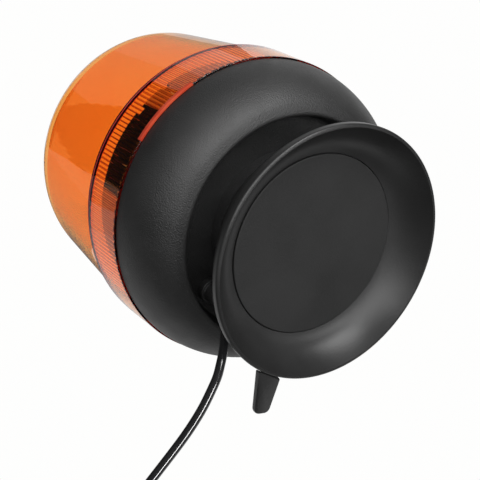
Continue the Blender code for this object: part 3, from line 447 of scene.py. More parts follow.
SLEEVE = surface("sleeve_dark", (0.03, 0.04, 0.09), (0.045, 0.055, 0.11), 0.006, (0.28, 0.36),
                 0.0010, 0.00002)
RED_WIRE = surface("red_insulation", (0.48, 0.015, 0.015), (0.58, 0.025, 0.022), 0.006, (0.3, 0.4),
                   0.0008, 0.00002)
# Painted light: a near-white for the strips that stand in for light coming through the band
LIGHT_STRIP_WHITE = surface("light_strip_white", (0.84, 0.82, 0.80), (0.90, 0.88, 0.86), 0.01, (0.5, 0.6),
                    0.0008, 0.00001)
PHOSPHOR = surface("phosphor_yellow", (0.72, 0.50, 0.06), (0.82, 0.60, 0.10), 0.0012, (0.4, 0.5),
                   0.0004, 0.00002)
AMBER = clear("amber_clear", (0.99, 0.395, 0.085), (1.0, 0.425, 0.100), 1.44)
# Painted shade: darker amber in lines along the flutes and deep red round the step, standing in for the dark
# lines that refraction makes there
shade_flutes_and_step(AMBER, (0.36, 0.055, 0.014), (0.70, 0.04, 0.04))
# Painted shade: opaque dark red for the strip at the band's foot
AMBER_FOOT_SHADE = surface("amber_foot_shade", (0.28, 0.024, 0.010), (0.36, 0.048, 0.020), 0.01, (0.45, 0.55),
                     0.002, 0.00001, specular=0.06)
# Painted shade: an opaque dark red for the step's ledge, standing in for the dark red line that refraction
# makes at the step
AMBER_STEP_SHADE = surface("amber_step_shade", (0.30, 0.006, 0.010), (0.36, 0.009, 0.013), 0.01, (0.40, 0.50),
                     0.002, 0.00001)
GLASS = clear("fuse_glass", (0.90, 0.92, 0.92), (0.94, 0.95, 0.95), 1.5)

FINISHES = {
    "black_rubber": CUP_RUBBER, "black_plastic": PLAIN_BLACK, "amber_plastic": AMBER, "zinc_steel": ZINC,
    "ferrite": FERRITE, "aluminium": ALUMINIUM, "circuit_board": GREEN_BOARD, "white_board": WHITE_BOARD,
    "brass": BRASS, "terminal_plastic": TERMINAL_GREEN, "capacitor_sleeve": SLEEVE, "copper_winding": COPPER,
    "red_insulation": RED_WIRE, "black_cord": CORD_BLACK, "fuse_glass": GLASS,
}
SLOTS = {part["node"]: part["material_slot"] for part in frame["record"]["subparts"]}


def dress_nodes():
    """Give every solid the finish of its slot."""
    for name, slot in SLOTS.items():
        for place in nodes[name].material_slots:
            place.material = FINISHES[slot]


def in_scene(name, data):
    """A new object in the scene."""
    piece = bpy.data.objects.new(name, data)
    bpy.context.scene.collection.objects.link(piece)
    return piece


def mesh_from(bm, name):
    """The mesh of a bmesh, which is then freed."""
    mesh = bpy.data.meshes.new(name)
    bm.to_mesh(mesh)
    bm.free()
    return mesh


def keep(bm, name, material, body, node=None, sharp=32.0):
    """Finish a bmesh as a piece that rides on a body and may stand for a node."""
    bmesh.ops.recalc_face_normals(bm, faces=bm.faces)
    mesh = mesh_from(bm, name)
    mesh.shade_smooth()
    mesh.set_sharp_from_angle(angle=radians(sharp))
    mesh.materials.append(material)
    piece = in_scene(name, mesh)
    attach(piece, body)
    if node:
        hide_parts(node)
    return piece


def rounded(corners, steps=5):
    """A closed outline whose corners (across, along, fillet) are rounded."""
    points = []
    count = len(corners)
    for i, (x, y, fillet) in enumerate(corners):
        here = Vector((x, y))
        if fillet == 0:
            points.append((x, y))
            continue
        before = Vector(corners[i - 1][:2]) - here
        after = Vector(corners[(i + 1) % count][:2]) - here
        half = before.angle(after) / 2
        reach = min(fillet / tan(half), before.length * 0.49, after.length * 0.49)
        start = here + before.normalized() * reach
        end = here + after.normalized() * reach
        for k in range(steps + 1):
            t = k / steps
            point = (1 - t) ** 2 * start + 2 * t * (1 - t) * here + t ** 2 * end
            points.append((point.x, point.y))
    return points


def rounded_square(middle, half, fillet, steps):
    """A square outline with rounded corners, its middle on the first axis."""
    return rounded([(middle - half, -half, fillet), (middle + half, -half, fillet),
                    (middle + half, half, fillet), (middle - half, half, fillet)], steps)


def braced(rows, reach=0.0005):
    """The rows of an outline, with more near the ends of long straights to keep those flat."""
    result = []
    for i, row in enumerate(rows):
        before = rows[i - 1]
        length = hypot(row[0] - before[0], row[1] - before[1])
        if length > 8 * reach:
            for share in (reach / length, 1 - reach / length):
                result.append(tuple(a + (b - a) * share for a, b in zip(before, row)))
        result.append(row)
    return result


def skin(bm, here, there):
    """Faces between two rings, which may share corners."""
    for i in range(len(here)):
        corners = list(dict.fromkeys((here[i - 1], here[i], there[i], there[i - 1])))
        if len(corners) > 2:
            bm.faces.new(corners)


def close(bm, rings):
    """Skin a row of rings that comes back to its first ring."""
    for here, there in zip(rings, rings[1:] + rings[:1]):
        skin(bm, here, there)


def loft(bm, rings):
    """Skin a row of rings and cap both its ends."""
    for here, there in zip(rings, rings[1:]):
        skin(bm, here, there)
    bm.faces.new(rings[0])
    bm.faces.new(rings[-1][::-1])


def spin(bm, outline, facets, centre=(0.0, 0.0)):
    """Turn a closed outline of (radius, height) round a vertical axis."""
    outline = braced(outline)
    poles = {i: bm.verts.new((*centre, z)) for i, (radius, z) in enumerate(outline) if radius == 0}
    rings = []
    for k in range(facets):
        across = cos(2 * pi * k / facets)
        along = sin(2 * pi * k / facets)
        rings.append([poles[i] if i in poles else
                      bm.verts.new((centre[0] + radius * across, centre[1] + radius * along, z))
                      for i, (radius, z) in enumerate(outline)])
    close(bm, rings)


def section_at(bm, section, azimuth):
    """The corners of a section of (radius, height) at an azimuth."""
    angle = radians(azimuth)
    return [bm.verts.new((r * cos(angle), r * sin(angle), z)) for r, z in section]


def arc(bm, section, first, last):
    """Sweep a closed section of (radius, height) round part of a turn."""
    count = max(2, int((last - first) / ARC_STEP))
    loft(bm, [section_at(bm, section, first + (last - first) * k / count) for k in range(count + 1)])


def prism(bm, outline, low, high):
    """A closed upright prism on an outline of (x, y)."""
    loft(bm, [[bm.verts.new((x, y, z)) for x, y in outline] for z in (low, high)])


def quarter(r_low, r_high, z_low, z_high, power, steps):
    """A rounded quarter from the outer, upper end down to the inner, lower end."""
    points = []
    for i in range(steps + 1):
        turn = pi / 2 * i / steps
        across = cos(turn) ** (2 / power) if i < steps else 0.0
        down = sin(turn) ** (2 / power)
        points.append((r_low + (r_high - r_low) * across, z_high - (z_high - z_low) * down))
    return points


def smooth(points, steps):
    """A smooth curve through the points."""
    ends = [2 * points[0] - points[1]] + points + [2 * points[-1] - points[-2]]
    curve = []
    for a, b, c, d in zip(ends, ends[1:], ends[2:], ends[3:]):
        for i in range(steps):
            t = i / steps
            curve.append(0.5 * (2 * b + (c - a) * t + (2 * a - 5 * b + 4 * c - d) * t ** 2
                                + (3 * b - a - 3 * c + d) * t ** 3))
    return curve + [points[-1]]


def grooves(radius_at, rings, profile):
    """Points (radius, height) of rings cut into a turned outline, rings being (count, first, pitch)."""
    count, first, pitch = rings
    points = []
    for i in range(count):
        start = first + pitch * i
        points += [(radius_at(start + along) - depth, start + along) for along, depth in profile]
    return points


def on_circle(radius, azimuths):
    """Places on a circle at the given azimuths."""
    angles = [radians(azimuth) for azimuth in azimuths]
    return [(radius * cos(angle), radius * sin(angle)) for angle in angles]


def spots(count, circle, azimuth):
    """Places evenly round a circle."""
    return on_circle(circle, [azimuth + 360 / count * i for i in range(count)])


def coil_turns():
    """The coil's turns, layer by layer from below, with both ends led out."""
    coil_x, coil_y = COIL_PLACE
    columns = [COIL_OUTER - COIL_COLUMN_PITCH * i for i in range(COIL_LAYERS)]
    levels = [COIL_FIRST_LEVEL + COIL_LAYER_PITCH * i for i in range(COIL_LAYERS)]
    seats = []
    for layer, level in enumerate(levels):
        seats += [(column, level) for column in (columns if layer % 2 == 0 else columns[::-1])]
    per_turn = 30
    run_out = 7
    cross_over = 0.16
    late = 0.05
    turns = []
    for i in range(COIL_TURNS * per_turn + run_out):
        turn = i / per_turn
        k = min(int(turn), COIL_TURNS)
        radius, level = seats[k]
        share = (turn - k - 1 + cross_over) / cross_over
        if share > 0 and k < COIL_TURNS:
            ease = share * share * (3 - 2 * share)
            radius += (seats[k + 1][0] - radius) * ease
            level += (seats[k + 1][1] - level) * ease
        end = max(1 - turn / cross_over, (turn - COIL_TURNS - late) / cross_over, 0.0)
        radius += (COIL_LEAD_RADIUS - radius) * end * end
        angle = pi - 2 * pi * turn
        turns.append((coil_x + radius * cos(angle), coil_y + radius * sin(angle), level))
    return turns


def cord_route():
    """Centreline of the cord: out of the gland, round the coil and on to the plug."""
    x, y = GLAND_PLACE
    coil_x, coil_y = COIL_PLACE
    ground = CORD_RADIUS + 0.00005
    lead = [(x, y, CORD_START_Z), (x, y, GLAND_FLANGE_TOP), (x, y, GLAND_NOZZLE_Z - CORD_RADIUS),
            (-0.0078, 0.0394, 0.0222), (-0.0073, 0.0430, 0.0175), (-0.0068, 0.0481, 0.0135),
            (-0.0062, 0.0525, 0.0099), (-0.0057, 0.0569, 0.0071), (-0.0052, 0.0612, 0.0049),
            (-0.0050, 0.0665, 0.0031), (-0.0043, 0.0723, 0.0021), (-0.0035, 0.0785, ground),
            (-0.0029, 0.0850, ground), (-0.0027, 0.0926, ground), (-0.0027, 0.1050, ground),
            (-0.00275, 0.1200, ground),
            (coil_x - COIL_LEAD_RADIUS, coil_y - 0.0120, COIL_Z + CORD_RADIUS * 0.6)]
    turns = coil_turns()
    tail = [(0.0250, 0.1826, 0.0118), (0.0345, 0.1862, 0.0092), (0.0440, 0.1908, 0.0074),
            (0.0518, 0.1984, 0.0068), (0.0534, 0.2078, 0.0076), (0.0484, 0.2152, 0.0094),
            (0.0410, 0.2186, 0.0108), (PLUG_PLACE[0] + 0.0030, *PLUG_PLACE[1:]),
            (PLUG_PLACE[0] + FIT, *PLUG_PLACE[1:])]
    start = smooth([Vector(p) for p in lead + turns[:1]], 3)[:-1]
    finish = smooth([Vector(p) for p in turns[-1:] + tail], 3)[1:]
    return start + [Vector(p) for p in turns] + finish


def cord():
    """One round cord, from inside the gland to the plug, and its length."""
    route = cord_route()
    curve = bpy.data.curves.new("cord_line", "CURVE")
    curve.dimensions = "3D"
    curve.bevel_depth = CORD_RADIUS
    curve.bevel_resolution = 5
    curve.use_fill_caps = True
    spline = curve.splines.new("POLY")
    spline.points.add(len(route) - 1)
    for knot, point in zip(spline.points, route):
        knot.co = (*point, 1.0)
    spline.use_smooth = True
    curve.materials.append(CORD_BLACK)
    piece = in_scene("cord_line", curve)
    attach(piece, "base")
    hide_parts("power_cord", "cord_coil", "cord_tail")
    return piece, sum((b - a).length for a, b in zip(route, route[1:]))


def lens_rows():
    """Outline (radius, height, fluted) of the lens, down its outside and back up its inside."""
    turns = [pi / 2 * i / CAP_STEPS for i in range(CAP_STEPS + 1)]
    skirt_inner = SKIRT_RADIUS - SKIRT_WALL
    foot_z = LENS_Z + LENS_WALL
    rows = [(SHOULDER_RADIUS * sin(t), SHOULDER_Z + CAP_HEIGHT * cos(t), 0) for t in turns]
    edge = [(SHOULDER_RADIUS, SHOULDER_Z, 0), (WALL_FOOT_RADIUS, BAND_TOP + STEP_CHAMFER, STEP_FILLET),
            (BAND_RADIUS, BAND_TOP, BAND_FILLET), (BAND_FOOT_RADIUS, LENS_Z, BAND_FOOT_FILLET),
            (SKIRT_RADIUS, LENS_Z, 0), (SKIRT_RADIUS, SKIRT_Z, 0), (skirt_inner, SKIRT_Z, 0),
            (skirt_inner, foot_z, 0)]
    rows += [(r, z, 0) for r, z in rounded(edge, 4)[1:]]
    for share, fluted in ((0.0, 0), (FLUTE_EDGE, 1), (1.0 - FLUTE_EDGE, 1), (1.0, 0)):
        inside = BAND_FOOT_RADIUS + (BAND_RADIUS - BAND_FOOT_RADIUS) * share - LENS_WALL
        rows.append((inside, foot_z + (BAND_TOP - foot_z) * share, fluted))
    rows.append((WALL_FOOT_RADIUS - LENS_WALL - INNER_STEP_TUCK, BAND_TOP + INNER_STEP, 0))
    inner_cap = CAP_HEIGHT - LENS_WALL
    rows += [((SHOULDER_RADIUS - LENS_WALL) * sin(t), SHOULDER_Z + inner_cap * cos(t), 0)
             for t in turns[::-1]]
    return braced(rows)


def lens():
    """Amber lens: smooth outside, fluted inside the band, with lugs on its skirt."""
    rows = lens_rows()
    bm = bmesh.new()
    poles = {i: bm.verts.new((0.0, 0.0, z)) for i, (radius, z, fluted) in enumerate(rows) if radius == 0}
    stations = ((FLUTE_EDGE, 0), (0.5 - FLUTE_EDGE, 0), (0.5 + FLUTE_EDGE, 1), (1.0 - FLUTE_EDGE, 1))
    rings = []
    for k in range(FLUTES):
        for share, raised in stations:
            angle = 2 * pi * (k + share) / FLUTES
            ring = []
            for i, (radius, z, fluted) in enumerate(rows):
                radius -= FLUTE_DEPTH * fluted * raised
                ring.append(poles[i] if i in poles else
                            bm.verts.new((radius * cos(angle), radius * sin(angle), z)))
            rings.append(ring)
    close(bm, rings)
    for k in range(LUGS):
        azimuths = [360 / LUGS * k + LUG_ANGLE * (i / LUG_STEPS - 0.5) for i in range(LUG_STEPS + 1)]
        outline = on_circle(SKIRT_RADIUS + LUG_REACH, azimuths)
        outline += on_circle(SKIRT_RADIUS - SKIRT_WALL / 2, azimuths[::-1])
        prism(bm, outline, SKIRT_Z, SKIRT_Z + LUG_HEIGHT)
    piece = keep(bm, "lens_amber", AMBER, "lens", "amber_lens", 24.0)
    # Painted shade: the faces of the step's ledge get the opaque dark red
    piece.data.materials.append(AMBER_STEP_SHADE)
    for face in piece.data.polygons:
        on_ledge = BAND_TOP - STEP_CHAMFER < face.center.z < BAND_TOP + 2 * STEP_CHAMFER
        if on_ledge and face.center.xy.length > WALL_FOOT_RADIUS - STEP_CHAMFER / 4:
            face.material_index = 1


def lens_foot_shade():
    """Short opaque dark red strip at the foot of the lens band: painted shade, standing in for the amber
    flange seen in shade there.
    """
    low, high = FOOT_SHADE_BAND
    face = BAND_FOOT_RADIUS + FOOT_SHADE_RISE
    inner = BAND_FOOT_RADIUS - FOOT_SHADE_SINK
    rim = RIM_RADIUS + 2 * FOOT_SHADE_SINK
    under = LENS_Z - FOOT_SHADE_SINK / 2
    section = rounded([(face, low, FOOT_SHADE_FILLET), (face, high, FOOT_SHADE_FILLET), (inner, high, 0),
                       (inner, under, 0), (rim, under, 0), (rim, low, 0)], 4)
    bm = bmesh.new()
    arc(bm, section, *FOOT_SHADE_ARC)
    keep(bm, "lens_foot_shade", AMBER_FOOT_SHADE, "lens")


def drum():
    """Black drum seen through the band: a deck, a wall, and notches round its upper edge."""
    inner = DRUM_RADIUS - DRUM_WALL
    rim = DRUM_RADIUS - DRUM_NOTCH_DEPTH
    sill = DRUM_TOP - DRUM_NOTCH_DEPTH
    foot = SKIRT_Z + DRUM_WALL
    under = DRUM_TOP - DRUM_WALL
    bm = bmesh.new()
    spin(bm, [(DRUM_OPENING, DRUM_TOP), (rim, DRUM_TOP), (rim, under), (DRUM_OPENING, under)], 96)
    spin(bm, [(DRUM_RADIUS, sill), (DRUM_RADIUS, foot), (inner, foot), (inner, sill)], 160)
    edge = rounded([(DRUM_RADIUS, sill, 0), (DRUM_RADIUS, DRUM_TOP, DRUM_FILLET), (rim, DRUM_TOP, 0),
                    (rim, under, 0), (inner, under, 0), (inner, sill, 0)], 3)
    pitch = 360.0 / DRUM_NOTCH_PAIRS
    for i in range(DRUM_NOTCH_PAIRS):
        first = DRUM_NOTCH_START + pitch * i
        for start, end in ((first, first + DRUM_NOTCH_GAP), (first + DRUM_NOTCH_GAP, first + pitch)):
            arc(bm, edge, start + DRUM_NOTCH_ANGLE / 2, end - DRUM_NOTCH_ANGLE / 2)
    bmesh.ops.remove_doubles(bm, verts=bm.verts, dist=MERGE_DISTANCE)
    keep(bm, "drum_wall", DRUM_BLACK, "base", "inner_drum")


def light_strip_stations():
    """Azimuth and upper edge along one pale strip, which is cut away at a notch of the drum."""
    high = DRUM_TOP - LIGHT_STRIP_TOP_GAP
    sill = DRUM_TOP - DRUM_NOTCH_DEPTH
    notch = DRUM_NOTCH_START + DRUM_NOTCH_GAP
    left = notch - DRUM_NOTCH_ANGLE / 2
    right = notch + DRUM_NOTCH_ANGLE / 2
    first, last = LIGHT_STRIP_ARC
    stops = [(first, high), (left, high), (left + LIGHT_STRIP_SLOPE, sill),
             (right - LIGHT_STRIP_SLOPE, sill), (right, high), (last, high)]
    stations = stops[:1]
    for (here, level), (there, next_level) in zip(stops, stops[1:]):
        count = ceil((there - here) / ARC_STEP)
        stations += [(here + (there - here) * i / count, level + (next_level - level) * i / count)
                     for i in range(1, count + 1)]
    return stations


def light_strips():
    """Pale strips round the drum, with bare drum between them: painted light, standing in for the light that
    comes through the band there.
    """
    inner = DRUM_RADIUS
    outer = DRUM_RADIUS + LIGHT_STRIP_THICKNESS
    low = SKIRT_Z + DRUM_WALL
    bm = bmesh.new()
    for k in range(DRUM_NOTCH_PAIRS):
        rings = []
        for azimuth, top in light_strip_stations():
            section = ((outer, low), (outer, top), (inner, top), (inner, low))
            rings.append(section_at(bm, section, azimuth + 360 / DRUM_NOTCH_PAIRS * k))
        loft(bm, rings)
    keep(bm, "drum_light_strips", LIGHT_STRIP_WHITE, "base")


def bowl():
    """Black bowl, with the groove and boss of its underside, and the pillars and posts inside."""
    floor_z = GROOVE_Z + BOWL_WALL
    inside_z = BOWL_Z + BOWL_WALL
    inside_boss = BOSS_RADIUS - BOWL_WALL
    outline = quarter(FOOT_RADIUS, RIM_RADIUS, BOWL_Z, RIM_Z, BOWL_ROUNDING, BOWL_STEPS)[:-FOOT_STEPS]
    under = [(*outline[-1], 0), (GROOVE_RADIUS + FOOT_EDGE_WIDTH, BOWL_Z - FOOT_EDGE_DROP, FOOT_EDGE_FILLET),
             (GROOVE_RADIUS - GROOVE_DRAFT, GROOVE_Z, GROOVE_FILLET), (BOSS_RADIUS + BOSS_DRAFT, GROOVE_Z, 0),
             (BOSS_RADIUS, BOWL_Z, BOSS_FILLET), (BOLT_HOLE, BOWL_Z, 0), (BOLT_HOLE, inside_z, 0),
             (inside_boss, inside_z, 0), (inside_boss, floor_z, 0),
             (GROOVE_RADIUS + GROOVE_FLOOR_REACH, floor_z, 0),
             (GROOVE_RADIUS + BOWL_WALL, BOWL_Z + BOWL_WALL * GROOVE_WALL_RISE, 0)]
    outline += rounded(under, 6)[1:]
    inside_foot = GROOVE_RADIUS + INNER_FOOT_REACH
    outline += quarter(inside_foot, INNER_RADIUS, inside_z, LEDGE_Z, BOWL_ROUNDING, 12)[::-1]
    ledge = INNER_RADIUS - LEDGE_WIDTH
    outline += [(ledge, LEDGE_Z), (ledge, LEDGE_TOP), (INNER_RADIUS, LEDGE_TOP), (INNER_RADIUS, RIM_Z)]
    bm = bmesh.new()
    spin(bm, outline, 192)
    pillars = (spots(3, PILLAR_CIRCLE, PILLAR_AZIMUTH), PILLAR_RADIUS, PILLAR_BORE, PILLAR_TOP)
    posts = (spots(3, POST_CIRCLE, POST_AZIMUTH), POST_RADIUS, POST_BORE, POST_TOP)
    for places, radius, bore, top in (pillars, posts):
        for place in places:
            ring = [(radius, floor_z), (radius, top), (bore + FIT, top), (bore + FIT, floor_z)]
            spin(bm, ring, 24, place)
    keep(bm, "bowl_shell", BOWL_BLACK, "base", "base_bowl")


def cup():
    """Rubber suction cup with a thick lip, a flared flank and a dished underside."""
    lip_inner = CUP_RADIUS - LIP_FLAT
    root = PAD_RADIUS + CUP_WALL
    neck = CUP_POCKET_RADIUS + CUP_WALL
    rise = CUP_TOP - LIP_HEIGHT
    flare = [Vector((CUP_RADIUS - LIP_TUCK, LIP_HEIGHT))]
    flare += [Vector((CUP_RADIUS + (root - CUP_RADIUS) * run, LIP_HEIGHT + rise * share))
              for run, share in FLARE]
    flare += [Vector((radius, LIP_HEIGHT + rise * share))
              for radius, share in zip(((root + neck) / 2, neck), NECK_RISE)]
    seam = DISH_DEPTH + PAD_PROUD
    dish = []
    for i in range(DISH_STEPS + 1):
        share = i / DISH_STEPS
        fall = DISH_FLARE * share + (1 - DISH_FLARE) * share ** DISH_BEND
        dish.append((PAD_RADIUS + (lip_inner - PAD_RADIUS) * share, seam * (1 - fall)))
    outline = [(CUP_RADIUS - inset, z) for inset, z in LIP_EDGE]
    outline += [tuple(p) for p in smooth(flare, 6)]
    outline += [(neck - NECK_FILLET, CUP_TOP), (BOLT_HOLE, CUP_TOP), (BOLT_HOLE, CUP_POCKET_TOP),
                (CUP_POCKET_RADIUS, CUP_POCKET_TOP), (CUP_POCKET_RADIUS, PAD_TOP + FIT),
                (PAD_RADIUS, PAD_TOP + FIT)]
    outline += dish
    bm = bmesh.new()
    spin(bm, outline, 192)
    keep(bm, "cup_rubber", CUP_RUBBER, "base", "suction_cup", 40.0)


def pad():
    """Flat pad inside the cup, which stands slightly proud of the dish."""
    edge = PAD_RADIUS - FIT
    outline = rounded([(0.0, DISH_DEPTH, 0), (edge, DISH_DEPTH, PAD_FILLET), (edge, PAD_TOP, 0),
                       (0.0, PAD_TOP, 0)], 4)
    bm = bmesh.new()
    spin(bm, outline, 160)
    keep(bm, "pad_face", PAD_RUBBER, "base", "pad_cover")


def tab():
    """Pull tab on the lip, with soft edges and a square root."""
    azimuth = radians(TAB_AZIMUTH)
    lean = radians(TAB_LEAN)
    outward = Vector((cos(lean), sin(lean)))
    root = (CUP_RADIUS + FIT) * Vector((cos(azimuth), sin(azimuth)))
    along = Vector((sin(azimuth), -cos(azimuth))) * TAB_ROOT_WIDTH / 2
    side = Vector((outward.y, -outward.x)) * TAB_TIP_WIDTH / 2
    tip = outward * TAB_LENGTH
    corners = [(along, TAB_ROOT_FILLET), (tip + side, TAB_TIP_FILLET), (tip - side, TAB_TIP_FILLET),
               (-along, TAB_ROOT_FILLET)]
    outline = [Vector(p) for p in rounded([(*corner, fillet) for corner, fillet in corners], 8)]
    edge = ((0.0, 0.92), (TAB_SOFT * 0.3, 0.975), (TAB_SOFT, 1.0))
    levels = [(TAB_LOW + rise, share) for rise, share in edge]
    levels += [(TAB_HIGH - drop, share) for drop, share in edge[::-1]]
    middle = tip * 0.5
    bm = bmesh.new()
    rings = []
    for z, share in levels:
        ring = []
        for point in outline:
            if point.dot(outward) > TAB_SOFT:
                point = middle + (point - middle) * share
            ring.append(bm.verts.new((*(root + point), z)))
        rings.append(ring)
    loft(bm, rings)
    keep(bm, "tab_rubber", CUP_RUBBER, "tab", "release_tab", 50.0)


def gland():
    """Cable gland in the groove."""
    bore = CORD_RADIUS + FIT / 3
    flange = GLAND_FLANGE_TOP - GLAND_FLANGE_THICKNESS
    tip = GLAND_NOZZLE_Z
    outline = rounded([(GLAND_STEM_RADIUS, GLAND_TOP, 0), (GLAND_STEM_RADIUS, GLAND_FLANGE_TOP, 0),
                       (GLAND_FLANGE_RADIUS, GLAND_FLANGE_TOP, 0),
                       (GLAND_FLANGE_RADIUS, flange, GLAND_FLANGE_FILLET),
                       *zip(GLAND_NOZZLE_RADII, (flange, tip), GLAND_NOZZLE_FILLETS),
                       (bore, tip, 0), (bore, GLAND_TOP, 0)], 6)
    bm = bmesh.new()
    spin(bm, outline, 48, GLAND_PLACE)
    keep(bm, "gland_boss", BOWL_BLACK, "base", "cable_gland")


def cord_ties():
    """Two ties round the coil, each with its small lock on top."""
    inside, outside = TIE_REACH
    pieces = []
    for number, azimuth in enumerate(TIE_AZIMUTHS):
        bm = bmesh.new()
        loops = []
        for grow, fillet in zip((TIE_THICKNESS, 0.0), TIE_FILLETS):
            corners = [(inside - grow, COIL_BOTTOM - grow), (outside + grow, COIL_BOTTOM - grow),
                       (outside + grow, COIL_TOP + grow), (inside - grow, COIL_TOP + grow)]
            loops.append(rounded([(*corner, fillet) for corner in corners], 6))
        rings = []
        for loop, y in ((loops[0], -0.5), (loops[0], 0.5), (loops[1], 0.5), (loops[1], -0.5)):
            rings.append([bm.verts.new((x, y * TIE_WIDTH, z)) for x, z in loop])
        close(bm, rings)
        lock = rounded_square((inside + outside) / 2, TIE_WIDTH * LOCK_SHARE, LOCK_FILLET, 3)
        prism(bm, lock, COIL_TOP + TIE_THICKNESS / 2, COIL_TOP + TIE_THICKNESS + LOCK_HEIGHT)
        place = Matrix.Translation((*COIL_PLACE, 0.0)) @ Matrix.Rotation(radians(azimuth), 4, "Z")
        bmesh.ops.transform(bm, matrix=place, verts=bm.verts)
        name = "cord_tie_%d" % (number + 1)
        pieces.append(keep(bm, name + "_strap", PLAIN_BLACK, "base", name, 40.0))
    return pieces


def plug_relief():
    """Strain relief: a cone with rings cut into it."""
    widening = (RELIEF_NECK_RADIUS * 0.92 - RELIEF_TAIL_RADIUS) / RELIEF_CONE_LENGTH

    def cone(z):
        return RELIEF_TAIL_RADIUS + widening * (z - RELIEF_TAIL_LENGTH)

    outline = [(0.0, 0.0), (RELIEF_TAIL_RADIUS * 0.9, 0.0), (RELIEF_TAIL_RADIUS, RELIEF_TAIL_LENGTH)]
    outline += grooves(cone, RELIEF_RINGS, RELIEF_GROOVE)
    outline += [(RELIEF_NECK_RADIUS, RELIEF_NECK_Z), (RELIEF_NECK_RADIUS, RELIEF_LENGTH),
                (0.0, RELIEF_LENGTH)]
    bm = bmesh.new()
    spin(bm, outline, 32)
    bmesh.ops.transform(bm, matrix=PLUG_FRAME, verts=bm.verts)
    return keep(bm, "plug_relief_rings", CUP_RUBBER, "base", "plug_relief")


def shell_rows(window):
    """Stations (height, outer radius, inner radius) along half of the plug's shell."""
    cavity = BARREL_RADIUS - SHELL_WALL
    length = GRIP_LENGTH + BARREL_LENGTH
    rear = [Vector((CORD_RADIUS + 2 * SHELL_WALL, 0.0))] + [Vector(point) for point in GRIP_REAR]
    outer = [tuple(point) for point in smooth(rear, 4)]
    outer += grooves(lambda z: GRIP_RADIUS, GRIP_RINGS, GRIP_GROOVE)
    outer += [(GRIP_RADIUS, GRIP_LENGTH - SHELL_CHAMFER), (GRIP_RADIUS - SHOULDER_CHAMFER, GRIP_LENGTH),
              (BARREL_RADIUS, GRIP_LENGTH + SHELL_WALL), (BARREL_RADIUS, window[0]),
              (BARREL_RADIUS, window[1]), (BARREL_RADIUS, length - SHELL_CHAMFER),
              (BARREL_RADIUS - SHELL_CHAMFER, length)]
    rows = []
    for radius, z in outer:
        share = (z - SHELL_WALL) / (GRIP_LENGTH * 0.4 - SHELL_WALL)
        rows.append((z, radius, CORD_RADIUS + (cavity - CORD_RADIUS) * min(max(share, 0.0), 1.0)))
    return rows


def half_shell(name, side, window):
    """Half of the plug's shell, with a cut on each edge for the side contacts."""
    rows = shell_rows(window)
    notch = 90.0 - degrees(asin((CONTACT_WIDTH / 2 + FIT) / BARREL_RADIUS))
    turns = [-90.0, -notch] + [7.5 * i for i in range(-9, 10)] + [notch, 90.0]
    bm = bmesh.new()
    outer = {}
    inner = {}
    for i, (z, *radii) in enumerate(rows):
        for j, turn in enumerate(turns):
            angle = radians(turn)
            for skin_points, radius in zip((outer, inner), radii):
                across = side * (radius * cos(angle) + FIT / 2)
                skin_points[i, j] = bm.verts.new((across, radius * sin(angle), RELIEF_LENGTH + FIT + z))
    loose = set()
    for i in range(len(rows) - 1):
        for j in range(len(turns) - 1):
            if rows[i][0] == window[0] and j in (0, len(turns) - 2):
                continue
            corners = [(i, j), (i, j + 1), (i + 1, j + 1), (i + 1, j)]
            bm.faces.new([outer[c] for c in corners])
            bm.faces.new([inner[c] for c in corners[::-1]])
            for a, b in zip(corners, corners[1:] + corners[:1]):
                if (b, a) in loose:
                    loose.remove((b, a))
                else:
                    loose.add((a, b))
    for a, b in sorted(loose):
        bm.faces.new((outer[b], outer[a], inner[a], inner[b]))
    bmesh.ops.transform(bm, matrix=PLUG_FRAME, verts=bm.verts)
    return keep(bm, name + "_grip", PLAIN_BLACK, "base", name, 40.0)


def spring(start):
    """Spring behind the plug's fuse, drawn at rest; in the real plug it shortens as the tip is pressed."""
    per_turn = 24
    sides = 8
    count = SPRING_TURNS * per_turn
    bm = bmesh.new()
    rings = []
    for i in range(count + 1):
        turn = 2 * pi * i / per_turn
        out = Vector((cos(turn), sin(turn), 0.0))
        middle = out * SPRING_RADIUS
        middle.z = start + SPRING_WIRE + (SPRING_LENGTH - 2 * SPRING_WIRE) * i / count
        ring = []
        for k in range(sides):
            angle = 2 * pi * k / sides
            reach = out * cos(angle) + Vector((0.0, 0.0, sin(angle)))
            ring.append(bm.verts.new(middle + SPRING_WIRE * reach))
        rings.append(ring)
    loft(bm, rings)
    bmesh.ops.transform(bm, matrix=PLUG_FRAME, verts=bm.verts)
    piece = keep(bm, "plug_spring_wire", ZINC, "base", "plug_spring", 60.0)
    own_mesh(piece)
    return piece


def plug():
    """Vehicle plug: ringed relief, two shell halves and spring."""
    window_end = GRIP_LENGTH + BARREL_LENGTH - CONTACT_TUCK * 1.6
    window = (window_end - CONTACT_LENGTH, window_end)
    pieces = [plug_relief()]
    for name, side in (("plug_shell_upper", 1), ("plug_shell_lower", -1)):
        pieces.append(half_shell(name, side, window))
    pieces.append(spring(SPRING_Z))
    return pieces


